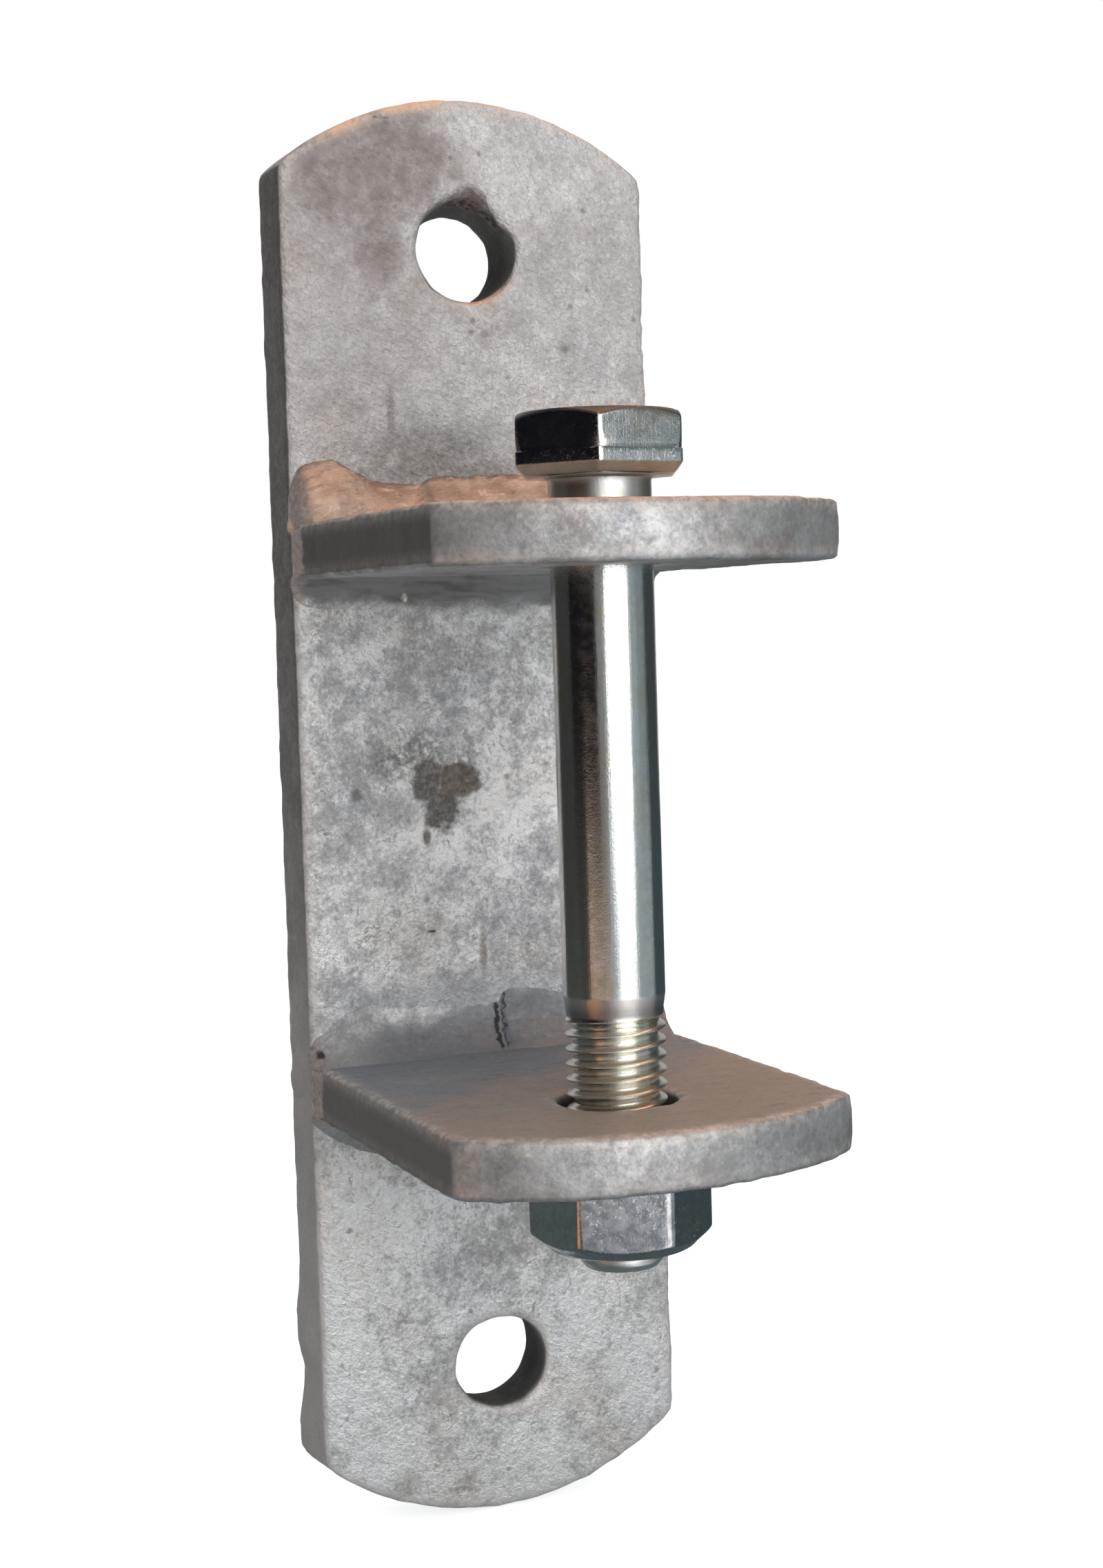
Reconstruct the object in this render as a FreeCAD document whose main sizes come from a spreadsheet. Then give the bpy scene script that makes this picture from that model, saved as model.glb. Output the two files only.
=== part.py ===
import FreeCAD, Part
import math
import os

import Sketcher

# Pipe wall bracket: a galvanised flat-bar back plate with two lugs welded square to its front,
# and a hex bolt with its nut passed upright through both lugs.
# Frame: millimetres, +Z up along the plate, +X across it, wall behind it on +Y.
# Origin: centre of the plate's back face.

SIZES = {
    "bar_width": (50.0, "flat bar that the plate and both lugs are cut from, across"),
    "plate_thickness": (10.0, "back plate, front to back"),
    "plate_length": (186.0, "back plate, between the crowns of its two ends"),
    "end_arc_radius": (38.0, "radius of the sheared ends, plate and lugs alike"),
    "rolled_edge_radius": (1.0, "soft corner of hot-rolled flat bar under its zinc"),
    "sheared_edge_bevel": (0.45, "zinc-softened corner of a sheared end"),
    "fixing_hole_spacing": (147.0, "between the two fixing holes"),
    "upper_hole_diameter": (14.0, "fixing hole near the top"),
    "lower_hole_diameter": (12.5, "fixing hole near the foot, narrowed by zinc"),
    "hole_edge_bevel": (0.35, "zinc-softened rim of a drilled hole"),
    "chip_foot_width": (6.4, "chip above the upper hole, across at the rim"),
    "chip_crown_width": (2.4, "chip above the upper hole, across at its top"),
    "chip_height": (1.8, "chip above the upper hole, up from the rim"),
    "chip_offset": (0.4, "chip above the upper hole, right of the hole's centre"),
    "chip_depth": (3.0, "chip above the upper hole, into the plate"),
    "chip_floor_share": (0.6, "chip's floor, as a share of its width on the face"),
    "chip_floor_sink": (0.3, "chip's floor, its top edge below the top of the hole"),
    "lug_thickness": (7.0, "lug, top to bottom"),
    "lug_length": (62.0, "lug, from the plate to the crown of its front end"),
    "lug_gap": (62.0, "clear height between the two lugs"),
    "lug_rise": (0.5, "middle of the gap above the middle of the plate"),
    "lug_hole_setback": (41.0, "bolt axis in front of the plate"),
    "weld_leg_on_plate": (5.5, "fillet weld, leg up or down the plate"),
    "weld_leg_on_lug": (5.0, "fillet weld, leg along the lug"),
    "weld_hollow": (0.5, "fillet weld, hollow of its face below the flat chord"),
    "weld_end_setback": (0.6, "fillet weld, short of the lug's edge at each end"),
    "bolt_diameter": (12.0, "plain shank of the bolt"),
    "lug_hole_clearance": (1.0, "between shank and lug hole, all round"),
    "head_across_flats": (19.0, "bolt head"),
    "head_height": (7.5, "bolt head with its washer face"),
    "head_clearance": (3.2, "bare shank between the head and the upper lug"),
    "head_turn": (7.1, "degrees, corner of the head from +X"),
    "washer_face_diameter": (17.0, "round bearing face under the head"),
    "washer_face_height": (0.5, "round bearing face under the head"),
    "underhead_radius": (0.6, "root between the head and the shank"),
    "crown_share": (0.95, "round crown of a chamfered hexagon, as a share of its flats"),
    "chamfer_slope": (30.0, "degrees, chamfer of head and nut corners"),
    "thread_length": (30.0, "rolled thread, up from the bolt's end"),
    "thread_diameter": (11.5, "crests of the rolled thread"),
    "neck_diameter": (10.6, "reduced neck above the thread"),
    "neck_length": (1.6, "straight part of the neck"),
    "neck_taper_length": (0.7, "cone from shank to neck"),
    "bolt_end_diameter": (9.7, "flat end of the bolt inside its chamfer"),
    "end_protrusion": (2.3, "bolt end below the nut"),
    "nut_across_flats": (19.0, "nut"),
    "nut_height": (10.0, "nut"),
    "nut_turn": (39.7, "degrees, corner of the nut from +X"),
    "nut_bore_clearance": (0.05, "between thread crests and the nut's bore, all round"),
    "nut_countersink": (0.6, "lead-in at both ends of the nut's bore"),
}

# The numbers by which a sketch names a curve's points and its own two axes
START, END, CENTRE = range(1, 4)
Y_AXIS, X_AXIS = range(-2, 0)
ORIGIN_POINT = (X_AXIS, START)

doc = FreeCAD.newDocument("pipe_wall_bracket")


def vector(x, y, z=0.0):
    return FreeCAD.Vector(x, y, z)


def size(alias):
    return SIZES[alias][0]


def make_sheet():
    sheet = doc.addObject("Spreadsheet::Sheet", "Sizes")
    for row, (alias, (value, meaning)) in enumerate(SIZES.items(), 1):
        sheet.set(f"A{row}", alias)
        sheet.set(f"B{row}", str(value))
        sheet.set(f"C{row}", meaning)
        sheet.setAlias(f"B{row}", alias)
    doc.recompute()
    return sheet


# Helpers for bodies, sketches and edge choice

def new_body(label, height=None, forward=None, turn=None):
    """A body whose place follows the sheet: height on Z, forward on Y, turn about Z."""
    body = doc.addObject("PartDesign::Body", label)
    body.Label = label
    body.Placement = FreeCAD.Placement(vector(0, 0), FreeCAD.Rotation(vector(0, 0, 1), 0))
    if height:
        body.setExpression("Placement.Base.z", height)
    if forward:
        body.setExpression("Placement.Base.y", forward)
    if turn:
        body.setExpression("Placement.Rotation.Angle", turn)
    return body


def new_sketch(body, name, role, offset=None):
    """A sketch on one of the body's origin planes, moved along its normal by an expression."""
    sketch = body.newObject("Sketcher::SketchObject", name)
    plane = [feature for feature in body.Origin.OriginFeatures if feature.Role == role][0]
    sketch.AttachmentSupport = (plane, [""])
    sketch.MapMode = "FlatFace"
    if offset:
        sketch.setExpression("AttachmentOffset.Base.z", offset)
    return sketch


def bind(sketch, kind, geometry, name, expression, value):
    """A named dimension of the sketch, bound to the sheet."""
    index = sketch.addConstraint(Sketcher.Constraint(kind, *geometry, value))
    sketch.renameConstraint(index, name)
    sketch.setExpression(f"Constraints.{name}", expression)


def join_ends(sketch, first, second):
    sketch.addConstraint(Sketcher.Constraint("Coincident", *first, *second))


def feature_on(body, kind, name, profile=None, **bound):
    """A feature of the body, with its sizes bound to the sheet."""
    feature = body.newObject(kind, name)
    if profile:
        feature.Profile = profile
        profile.Visibility = False
    for property_name, expression in bound.items():
        feature.setExpression(property_name, expression)
    return feature


def dress_edges(body, kind, name, amount, wanted):
    """A fillet or chamfer on each edge of the body's tip that the test picks."""
    doc.recompute()
    base = body.Tip
    names = [f"Edge{i}" for i, edge in enumerate(base.Shape.Edges, 1) if wanted(edge)]
    if not names:
        raise ValueError(f"{name}: no edge picked")
    dressing = body.newObject(f"PartDesign::{kind}", name)
    dressing.Base = (base, names)
    dressing.setExpression("Radius" if kind == "Fillet" else "Size", amount)
    doc.recompute()
    return dressing


def is_circle(edge, radius):
    return isinstance(edge.Curve, Part.Circle) and abs(edge.Curve.Radius - radius) < 1e-4


def runs_along(edge, direction):
    if not isinstance(edge.Curve, Part.Line):
        return False
    return abs(abs(edge.Curve.Direction.dot(direction)) - 1.0) < 1e-6


def arc_rise(width):
    """Rise of a sheared end over its corners."""
    radius = size("end_arc_radius")
    return radius - math.sqrt(radius ** 2 - (width / 2) ** 2)


# Sketch outlines

def end_arc(sketch, width, centre_y, upward):
    """The arc of a sheared end of a bar of this width, centred on the sketch's Y axis."""
    radius = size("end_arc_radius")
    half_angle = math.asin(width / 2 / radius)
    middle = math.pi / 2 if upward else -math.pi / 2
    circle = Part.Circle(vector(0, centre_y), vector(0, 0, 1), radius)
    return sketch.addGeometry(Part.ArcOfCircle(circle, middle - half_angle, middle + half_angle))


def plate_outline(sketch):
    """Straight sides and two arc ends, symmetric about the sketch's origin."""
    half_width = size("bar_width") / 2
    corner = size("plate_length") / 2 - arc_rise(size("bar_width"))
    centre = size("plate_length") / 2 - size("end_arc_radius")
    right = sketch.addGeometry(Part.LineSegment(vector(half_width, -corner), vector(half_width, corner)))
    left = sketch.addGeometry(Part.LineSegment(vector(-half_width, corner), vector(-half_width, -corner)))
    top = end_arc(sketch, size("bar_width"), centre, True)
    bottom = end_arc(sketch, size("bar_width"), -centre, False)
    join_ends(sketch, (right, END), (top, START))
    join_ends(sketch, (top, END), (left, START))
    join_ends(sketch, (left, END), (bottom, START))
    join_ends(sketch, (bottom, END), (right, START))
    for side in (right, left):
        sketch.addConstraint(Sketcher.Constraint("Vertical", side))
    sketch.addConstraint(Sketcher.Constraint("Equal", left, right))
    for arc, sign, name in ((top, 1, "top"), (bottom, -1, "bottom")):
        sketch.addConstraint(Sketcher.Constraint("PointOnObject", arc, CENTRE, Y_AXIS))
        bind(sketch, "Radius", (arc,), f"{name}_arc_radius", "Sizes.end_arc_radius",
             size("end_arc_radius"))
        bind(sketch, "DistanceY", (*ORIGIN_POINT, arc, CENTRE), f"{name}_arc_centre",
             f"{sign} * (Sizes.plate_length / 2 - Sizes.end_arc_radius)", sign * centre)
    bind(sketch, "DistanceX", (left, START, right, END), "width", "Sizes.bar_width",
         size("bar_width"))


def round_hole(sketch, name, centre_y, diameter, y_expression, diameter_expression):
    """A hole centred on the sketch's Y axis."""
    circle = sketch.addGeometry(Part.Circle(vector(0, centre_y), vector(0, 0, 1), diameter / 2))
    sketch.addConstraint(Sketcher.Constraint("PointOnObject", circle, CENTRE, Y_AXIS))
    bind(sketch, "DistanceY", (*ORIGIN_POINT, circle, CENTRE), f"{name}_place", y_expression, centre_y)
    bind(sketch, "Diameter", (circle,), f"{name}_diameter", diameter_expression, diameter)


def lug_outline(sketch):
    """Square back against the plate, straight sides and an arc front end, towards -Y."""
    half_width = size("bar_width") / 2
    corner = -(size("lug_length") - arc_rise(size("bar_width")))
    centre = -(size("lug_length") - size("end_arc_radius"))
    back = sketch.addGeometry(Part.LineSegment(vector(half_width, 0), vector(-half_width, 0)))
    left = sketch.addGeometry(Part.LineSegment(vector(-half_width, 0), vector(-half_width, corner)))
    right = sketch.addGeometry(Part.LineSegment(vector(half_width, corner), vector(half_width, 0)))
    front = end_arc(sketch, size("bar_width"), centre, False)
    join_ends(sketch, (back, END), (left, START))
    join_ends(sketch, (left, END), (front, START))
    join_ends(sketch, (front, END), (right, START))
    join_ends(sketch, (right, END), (back, START))
    for side in (right, left):
        sketch.addConstraint(Sketcher.Constraint("Vertical", side))
    sketch.addConstraint(Sketcher.Constraint("PointOnObject", back, START, X_AXIS))
    sketch.addConstraint(Sketcher.Constraint("Symmetric", back, START, back, END, Y_AXIS))
    sketch.addConstraint(Sketcher.Constraint("PointOnObject", front, CENTRE, Y_AXIS))
    bind(sketch, "Radius", (front,), "front_arc_radius", "Sizes.end_arc_radius", size("end_arc_radius"))
    bind(sketch, "DistanceY", (*ORIGIN_POINT, front, CENTRE), "front_arc_centre",
         "Sizes.end_arc_radius - Sizes.lug_length", centre)
    bind(sketch, "DistanceX", (back, END, back, START), "width", "Sizes.bar_width", size("bar_width"))


def hexagon(sketch, alias):
    """A regular hexagon with a corner on the sketch's X axis, sized across its flats."""
    radius = size(alias) / math.sqrt(3)
    corners = [vector(radius * math.cos(k * math.pi / 3), radius * math.sin(k * math.pi / 3))
               for k in range(6)]
    sides = [sketch.addGeometry(Part.LineSegment(corners[k], corners[(k + 1) % 6])) for k in range(6)]
    circle = sketch.addGeometry(Part.Circle(vector(0, 0), vector(0, 0, 1), radius), True)
    join_ends(sketch, (circle, CENTRE), ORIGIN_POINT)
    for k in range(6):
        join_ends(sketch, (sides[k], END), (sides[(k + 1) % 6], START))
        sketch.addConstraint(Sketcher.Constraint("PointOnObject", sides[k], START, circle))
    for k in range(1, 6):
        sketch.addConstraint(Sketcher.Constraint("Equal", sides[0], sides[k]))
    sketch.addConstraint(Sketcher.Constraint("PointOnObject", sides[0], START, X_AXIS))
    bind(sketch, "Radius", (circle,), "corner_radius", f"Sizes.{alias} / sqrt(3)", radius)


def polygon(sketch, points):
    """A closed outline of straight lines. Each point gives its place and the expressions for it."""
    count = len(points)
    places = [vector(x, y) for x, y, _, _ in points]
    sides = [sketch.addGeometry(Part.LineSegment(places[k], places[(k + 1) % count])) for k in range(count)]
    for k in range(count):
        join_ends(sketch, (sides[k], END), (sides[(k + 1) % count], START))
    for k, (x, y, x_expression, y_expression) in enumerate(points):
        if x_expression is None:
            sketch.addConstraint(Sketcher.Constraint("PointOnObject", sides[k], START, Y_AXIS))
        else:
            bind(sketch, "DistanceX", (*ORIGIN_POINT, sides[k], START), f"x_{k}", x_expression, x)
        if y_expression is None:
            sketch.addConstraint(Sketcher.Constraint("PointOnObject", sides[k], START, X_AXIS))
        else:
            bind(sketch, "DistanceY", (*ORIGIN_POINT, sides[k], START), f"y_{k}", y_expression, y)
    return sides


def hollow_arc(sketch, first, last, hollow):
    """An arc between two points that bows towards the sketch's origin by the hollow."""
    chord = last - first
    radius = chord.Length ** 2 / (8 * hollow) + hollow / 2
    middle = (first + last) / 2
    outward = vector(-chord.y, chord.x).normalize()
    if outward.dot(middle) < 0:
        outward = -outward
    centre = middle + outward * (radius - hollow)
    angles = [math.atan2(point.y - centre.y, point.x - centre.x) for point in (first, last)]
    forwards = (angles[1] - angles[0]) % (2 * math.pi) < math.pi
    start, end = angles if forwards else reversed(angles)
    circle = Part.Circle(centre, vector(0, 0, 1), radius)
    arc = sketch.addGeometry(Part.ArcOfCircle(circle, start, end))
    return (arc, START, END) if forwards else (arc, END, START)


# Sub-parts

def make_back_plate():
    body = new_body("back_plate")
    outline = new_sketch(body, "plate_outline", "XZ_Plane")
    plate_outline(outline)
    half_spacing = size("fixing_hole_spacing") / 2
    round_hole(outline, "upper_hole", half_spacing, size("upper_hole_diameter"),
               "Sizes.fixing_hole_spacing / 2", "Sizes.upper_hole_diameter")
    round_hole(outline, "lower_hole", -half_spacing, size("lower_hole_diameter"),
               "-Sizes.fixing_hole_spacing / 2", "Sizes.lower_hole_diameter")
    feature_on(body, "PartDesign::Pad", "plate_pad", outline, Length="Sizes.plate_thickness")

    hole_radii = (size("upper_hole_diameter") / 2, size("lower_hole_diameter") / 2)
    dress_edges(body, "Fillet", "rolled_edges", "Sizes.rolled_edge_radius",
                lambda edge: runs_along(edge, vector(0, 0, 1)))
    dress_edges(body, "Chamfer", "sheared_edges", "Sizes.sheared_edge_bevel",
                lambda edge: is_circle(edge, size("end_arc_radius")))
    dress_edges(body, "Chamfer", "hole_rims", "Sizes.hole_edge_bevel",
                lambda edge: any(is_circle(edge, radius) for radius in hole_radii))
    cut_chip(body)
    return body


def cut_chip(body):
    """The chip broken out above the upper hole: wide on the face, closing to the hole's top inside."""
    rim = "Sizes.fixing_hole_spacing / 2 + Sizes.upper_hole_diameter / 2"
    face = chip_outline(body, "chip_on_face", "Sizes.plate_thickness",
                        f"{rim} + Sizes.chip_height", size("chip_height"), "1", 1.0)
    floor = chip_outline(body, "chip_floor", "Sizes.plate_thickness - Sizes.chip_depth",
                         f"{rim} - Sizes.chip_floor_sink", -size("chip_floor_sink"),
                         "Sizes.chip_floor_share", size("chip_floor_share"))
    doc.recompute()
    whole = body.Tip.Shape.Volume
    loft = body.newObject("PartDesign::SubtractiveLoft", "chip")
    loft.Profile = face
    loft.Sections = [floor]
    loft.Ruled = True
    face.Visibility = False
    floor.Visibility = False
    doc.recompute()
    if not loft.Shape.Volume < whole:
        raise ValueError("chip cuts nothing")


def chip_outline(body, name, depth, crown_expression, crown_rise, share_expression, share):
    """One section of the chip, from the hole's centre up to its crown, at a depth of the plate."""
    sketch = new_sketch(body, name, "XZ_Plane", depth)
    centre = size("fixing_hole_spacing") / 2
    crown = centre + size("upper_hole_diameter") / 2 + crown_rise
    middle = size("chip_offset")
    centre_expression = "Sizes.fixing_hole_spacing / 2"
    points = []
    for side, width, y, y_expression in ((-1, "chip_foot_width", centre, centre_expression),
                                         (1, "chip_foot_width", centre, centre_expression),
                                         (1, "chip_crown_width", crown, crown_expression),
                                         (-1, "chip_crown_width", crown, crown_expression)):
        points.append((middle + side * size(width) / 2 * share, y,
                       f"Sizes.chip_offset + {side} * Sizes.{width} / 2 * {share_expression}",
                       y_expression))
    polygon(sketch, points)
    return sketch


def make_lug(label, height):
    body = new_body(label, height=height, forward="-Sizes.plate_thickness")
    outline = new_sketch(body, f"{label}_outline", "XY_Plane")
    lug_outline(outline)
    hole_diameter = size("bolt_diameter") + 2 * size("lug_hole_clearance")
    round_hole(outline, "bolt_hole", -size("lug_hole_setback"), hole_diameter,
               "-Sizes.lug_hole_setback", "Sizes.bolt_diameter + 2 * Sizes.lug_hole_clearance")
    feature_on(body, "PartDesign::Pad", f"{label}_pad", outline, Length="Sizes.lug_thickness")
    dress_edges(body, "Fillet", f"{label}_rolled_edges", "Sizes.rolled_edge_radius",
                lambda edge: runs_along(edge, vector(0, 1, 0)))
    dress_edges(body, "Chamfer", f"{label}_sheared_edges", "Sizes.sheared_edge_bevel",
                lambda edge: is_circle(edge, size("end_arc_radius")))
    dress_edges(body, "Chamfer", f"{label}_hole_rims", "Sizes.hole_edge_bevel",
                lambda edge: is_circle(edge, hole_diameter / 2))
    return body


def make_weld(label, height, upward):
    """A fillet weld along a lug's root: two legs and a slightly hollow face, padded across the lug."""
    body = new_body(label, height=height, forward="-Sizes.plate_thickness")
    sign = 1 if upward else -1
    on_plate = vector(0, sign * size("weld_leg_on_plate"))
    on_lug = vector(-size("weld_leg_on_lug"), 0)
    profile = new_sketch(body, f"{label}_profile", "YZ_Plane")
    plate_leg = profile.addGeometry(Part.LineSegment(vector(0, 0), on_plate))
    lug_leg = profile.addGeometry(Part.LineSegment(on_lug, vector(0, 0)))
    face, face_start, face_end = hollow_arc(profile, on_plate, on_lug, size("weld_hollow"))
    join_ends(profile, (plate_leg, START), ORIGIN_POINT)
    join_ends(profile, (lug_leg, END), ORIGIN_POINT)
    join_ends(profile, (plate_leg, END), (face, face_start))
    join_ends(profile, (lug_leg, START), (face, face_end))
    profile.addConstraint(Sketcher.Constraint("Vertical", plate_leg))
    profile.addConstraint(Sketcher.Constraint("Horizontal", lug_leg))
    bind(profile, "DistanceY", (plate_leg, START, plate_leg, END), "leg_on_plate",
         f"{sign} * Sizes.weld_leg_on_plate", on_plate.y)
    bind(profile, "DistanceX", (lug_leg, START, lug_leg, END), "leg_on_lug",
         "Sizes.weld_leg_on_lug", -on_lug.x)
    chord_square = "(Sizes.weld_leg_on_plate ^ 2 + Sizes.weld_leg_on_lug ^ 2)"
    bind(profile, "Radius", (face,), "face_radius",
         f"{chord_square} / (8 * Sizes.weld_hollow) + Sizes.weld_hollow / 2",
         profile.Geometry[face].Radius)
    pad = feature_on(body, "PartDesign::Pad", f"{label}_bead", profile,
                     Length="Sizes.bar_width - 2 * Sizes.weld_end_setback")
    pad.Midplane = True
    return body


def chamfer_hexagon(body, name, alias, level, level_expression, outward):
    """A groove that takes the corners of a hexagon off to a round crown at the given level."""
    slope = math.tan(math.radians(size("chamfer_slope")))
    crown = size(alias) / 2 * size("crown_share")
    reach = size(alias)
    drop = (reach - crown) * slope
    crown_expression = f"Sizes.{alias} / 2 * Sizes.crown_share"
    reach_expression = f"Sizes.{alias}"
    slope_expression = "tan(Sizes.chamfer_slope * 1 deg)"
    drop_expression = f"(Sizes.{alias} - {crown_expression}) * {slope_expression}"
    sketch = new_sketch(body, f"{name}_profile", "XZ_Plane")
    polygon(sketch, [
        (crown, level, crown_expression, level_expression or None),
        (reach, level - outward * drop, reach_expression,
         f"{level_expression or 0} - {outward} * {drop_expression}"),
        (reach, level + outward * drop, reach_expression,
         f"{level_expression or 0} + {outward} * {drop_expression}"),
        (crown, level + outward * drop, crown_expression,
         f"{level_expression or 0} + {outward} * {drop_expression}"),
    ])
    doc.recompute()
    whole = body.Tip.Shape.Volume
    groove = body.newObject("PartDesign::Groove", name)
    groove.Profile = sketch
    groove.ReferenceAxis = (sketch, ["V_Axis"])
    groove.Angle = 360.0
    sketch.Visibility = False
    doc.recompute()
    if not groove.Shape.Volume < whole:
        raise ValueError(f"{name} cuts nothing")
    return groove


def make_hex_bolt():
    """Local frame: bearing face of the head at z = 0, shank downwards."""
    body = new_body(
        "hex_bolt",
        height="Sizes.lug_rise + Sizes.lug_gap / 2 + Sizes.lug_thickness + Sizes.head_clearance",
        forward="-Sizes.plate_thickness - Sizes.lug_hole_setback",
        turn="Sizes.head_turn")
    length = (size("head_clearance") + 2 * size("lug_thickness") + size("lug_gap")
              + size("nut_height") + size("end_protrusion"))
    length_expression = ("(Sizes.head_clearance + 2 * Sizes.lug_thickness + Sizes.lug_gap"
                         " + Sizes.nut_height + Sizes.end_protrusion)")
    thread_top = size("thread_length") - length
    thread_top_expression = f"Sizes.thread_length - {length_expression}"
    neck_top = thread_top + size("neck_length")
    neck_top_expression = f"{thread_top_expression} + Sizes.neck_length"
    shank_end_expression = f"{neck_top_expression} + Sizes.neck_taper_length"
    thread_lead = (size("thread_diameter") - size("neck_diameter")) / 2
    thread_lead_expression = "(Sizes.thread_diameter - Sizes.neck_diameter) / 2"
    end_chamfer = (size("thread_diameter") - size("bolt_end_diameter")) / 2
    end_chamfer_expression = "(Sizes.thread_diameter - Sizes.bolt_end_diameter) / 2"

    shank = new_sketch(body, "shank_profile", "XZ_Plane")
    polygon(shank, [
        (0, size("washer_face_height"), None, "Sizes.washer_face_height"),
        (0, -length, None, f"-{length_expression}"),
        (size("bolt_end_diameter") / 2, -length, "Sizes.bolt_end_diameter / 2", f"-{length_expression}"),
        (size("thread_diameter") / 2, end_chamfer - length, "Sizes.thread_diameter / 2",
         f"{end_chamfer_expression} - {length_expression}"),
        (size("thread_diameter") / 2, thread_top - thread_lead, "Sizes.thread_diameter / 2",
         f"{thread_top_expression} - {thread_lead_expression}"),
        (size("neck_diameter") / 2, thread_top, "Sizes.neck_diameter / 2", thread_top_expression),
        (size("neck_diameter") / 2, neck_top, "Sizes.neck_diameter / 2", neck_top_expression),
        (size("bolt_diameter") / 2, neck_top + size("neck_taper_length"), "Sizes.bolt_diameter / 2",
         shank_end_expression),
        (size("bolt_diameter") / 2, 0, "Sizes.bolt_diameter / 2", None),
        (size("washer_face_diameter") / 2, 0, "Sizes.washer_face_diameter / 2", None),
        (size("washer_face_diameter") / 2, size("washer_face_height"), "Sizes.washer_face_diameter / 2",
         "Sizes.washer_face_height"),
    ])
    revolution = body.newObject("PartDesign::Revolution", "shank")
    revolution.Profile = shank
    revolution.ReferenceAxis = (shank, ["V_Axis"])
    revolution.Angle = 360.0
    shank.Visibility = False
    dress_edges(body, "Fillet", "underhead_root", "Sizes.underhead_radius",
                lambda edge: is_circle(edge, size("bolt_diameter") / 2) and abs(edge.Curve.Center.z) < 1e-6)

    head = new_sketch(body, "head_outline", "XY_Plane", "Sizes.washer_face_height")
    hexagon(head, "head_across_flats")
    feature_on(body, "PartDesign::Pad", "head", head,
               Length="Sizes.head_height - Sizes.washer_face_height")
    chamfer_hexagon(body, "head_chamfer", "head_across_flats", size("head_height"),
                    "Sizes.head_height", 1)
    return body


def make_hex_nut():
    """Local frame: top face of the nut at z = 0, against the underside of the lower lug."""
    body = new_body(
        "hex_nut",
        height="Sizes.lug_rise - Sizes.lug_gap / 2 - Sizes.lug_thickness",
        forward="-Sizes.plate_thickness - Sizes.lug_hole_setback",
        turn="Sizes.nut_turn")
    bore_diameter = size("thread_diameter") + 2 * size("nut_bore_clearance")
    outline = new_sketch(body, "nut_outline", "XY_Plane", "-Sizes.nut_height")
    hexagon(outline, "nut_across_flats")
    bore = outline.addGeometry(Part.Circle(vector(0, 0), vector(0, 0, 1), bore_diameter / 2))
    join_ends(outline, (bore, CENTRE), ORIGIN_POINT)
    bind(outline, "Diameter", (bore,), "bore_diameter",
         "Sizes.thread_diameter + 2 * Sizes.nut_bore_clearance", bore_diameter)
    feature_on(body, "PartDesign::Pad", "nut_pad", outline, Length="Sizes.nut_height")
    chamfer_hexagon(body, "nut_top_chamfer", "nut_across_flats", 0, "", 1)
    chamfer_hexagon(body, "nut_under_chamfer", "nut_across_flats", -size("nut_height"),
                    "-Sizes.nut_height", -1)
    dress_edges(body, "Chamfer", "nut_countersinks", "Sizes.nut_countersink",
                lambda edge: is_circle(edge, bore_diameter / 2))
    return body


def check_document():
    doc.recompute()
    for item in doc.Objects:
        if "Invalid" in item.State or "Error" in item.State:
            raise RuntimeError(f"{item.Label} did not build: {item.State}")


def write_parts(bodies):
    os.makedirs("parts", exist_ok=True)
    for body in bodies:
        shape = body.Shape
        if shape.isNull() or not shape.isValid() or len(shape.Solids) != 1:
            raise RuntimeError(f"{body.Label} is not one valid solid")
        shape.exportStep(os.path.join("parts", f"{body.Label}.step"))
        box = shape.optimalBoundingBox(False)
        print(f"{body.Label}: {shape.Volume:.1f} mm3, x {box.XMin:.2f}..{box.XMax:.2f}, "
              f"y {box.YMin:.2f}..{box.YMax:.2f}, z {box.ZMin:.2f}..{box.ZMax:.2f}")


UPPER_LUG_UNDERSIDE = "Sizes.lug_rise + Sizes.lug_gap / 2"
UPPER_LUG_TOP = f"{UPPER_LUG_UNDERSIDE} + Sizes.lug_thickness"
LOWER_LUG_TOP = "Sizes.lug_rise - Sizes.lug_gap / 2"
LOWER_LUG_UNDERSIDE = f"{LOWER_LUG_TOP} - Sizes.lug_thickness"

make_sheet()
bodies = [
    make_back_plate(),
    make_lug("upper_lug", UPPER_LUG_UNDERSIDE),
    make_lug("lower_lug", LOWER_LUG_UNDERSIDE),
    make_weld("upper_lug_top_weld", UPPER_LUG_TOP, True),
    make_weld("upper_lug_under_weld", UPPER_LUG_UNDERSIDE, False),
    make_weld("lower_lug_top_weld", LOWER_LUG_TOP, True),
    make_weld("lower_lug_under_weld", LOWER_LUG_UNDERSIDE, False),
    make_hex_bolt(),
    make_hex_nut(),
]
check_document()
write_parts(bodies)
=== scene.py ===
"""Pipe wall bracket: dipped-zinc plate and lugs, their welds, and the plated hex bolt with its nut."""

import math

import bpy
import numpy as np
from mathutils import Matrix, Vector, noise


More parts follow.
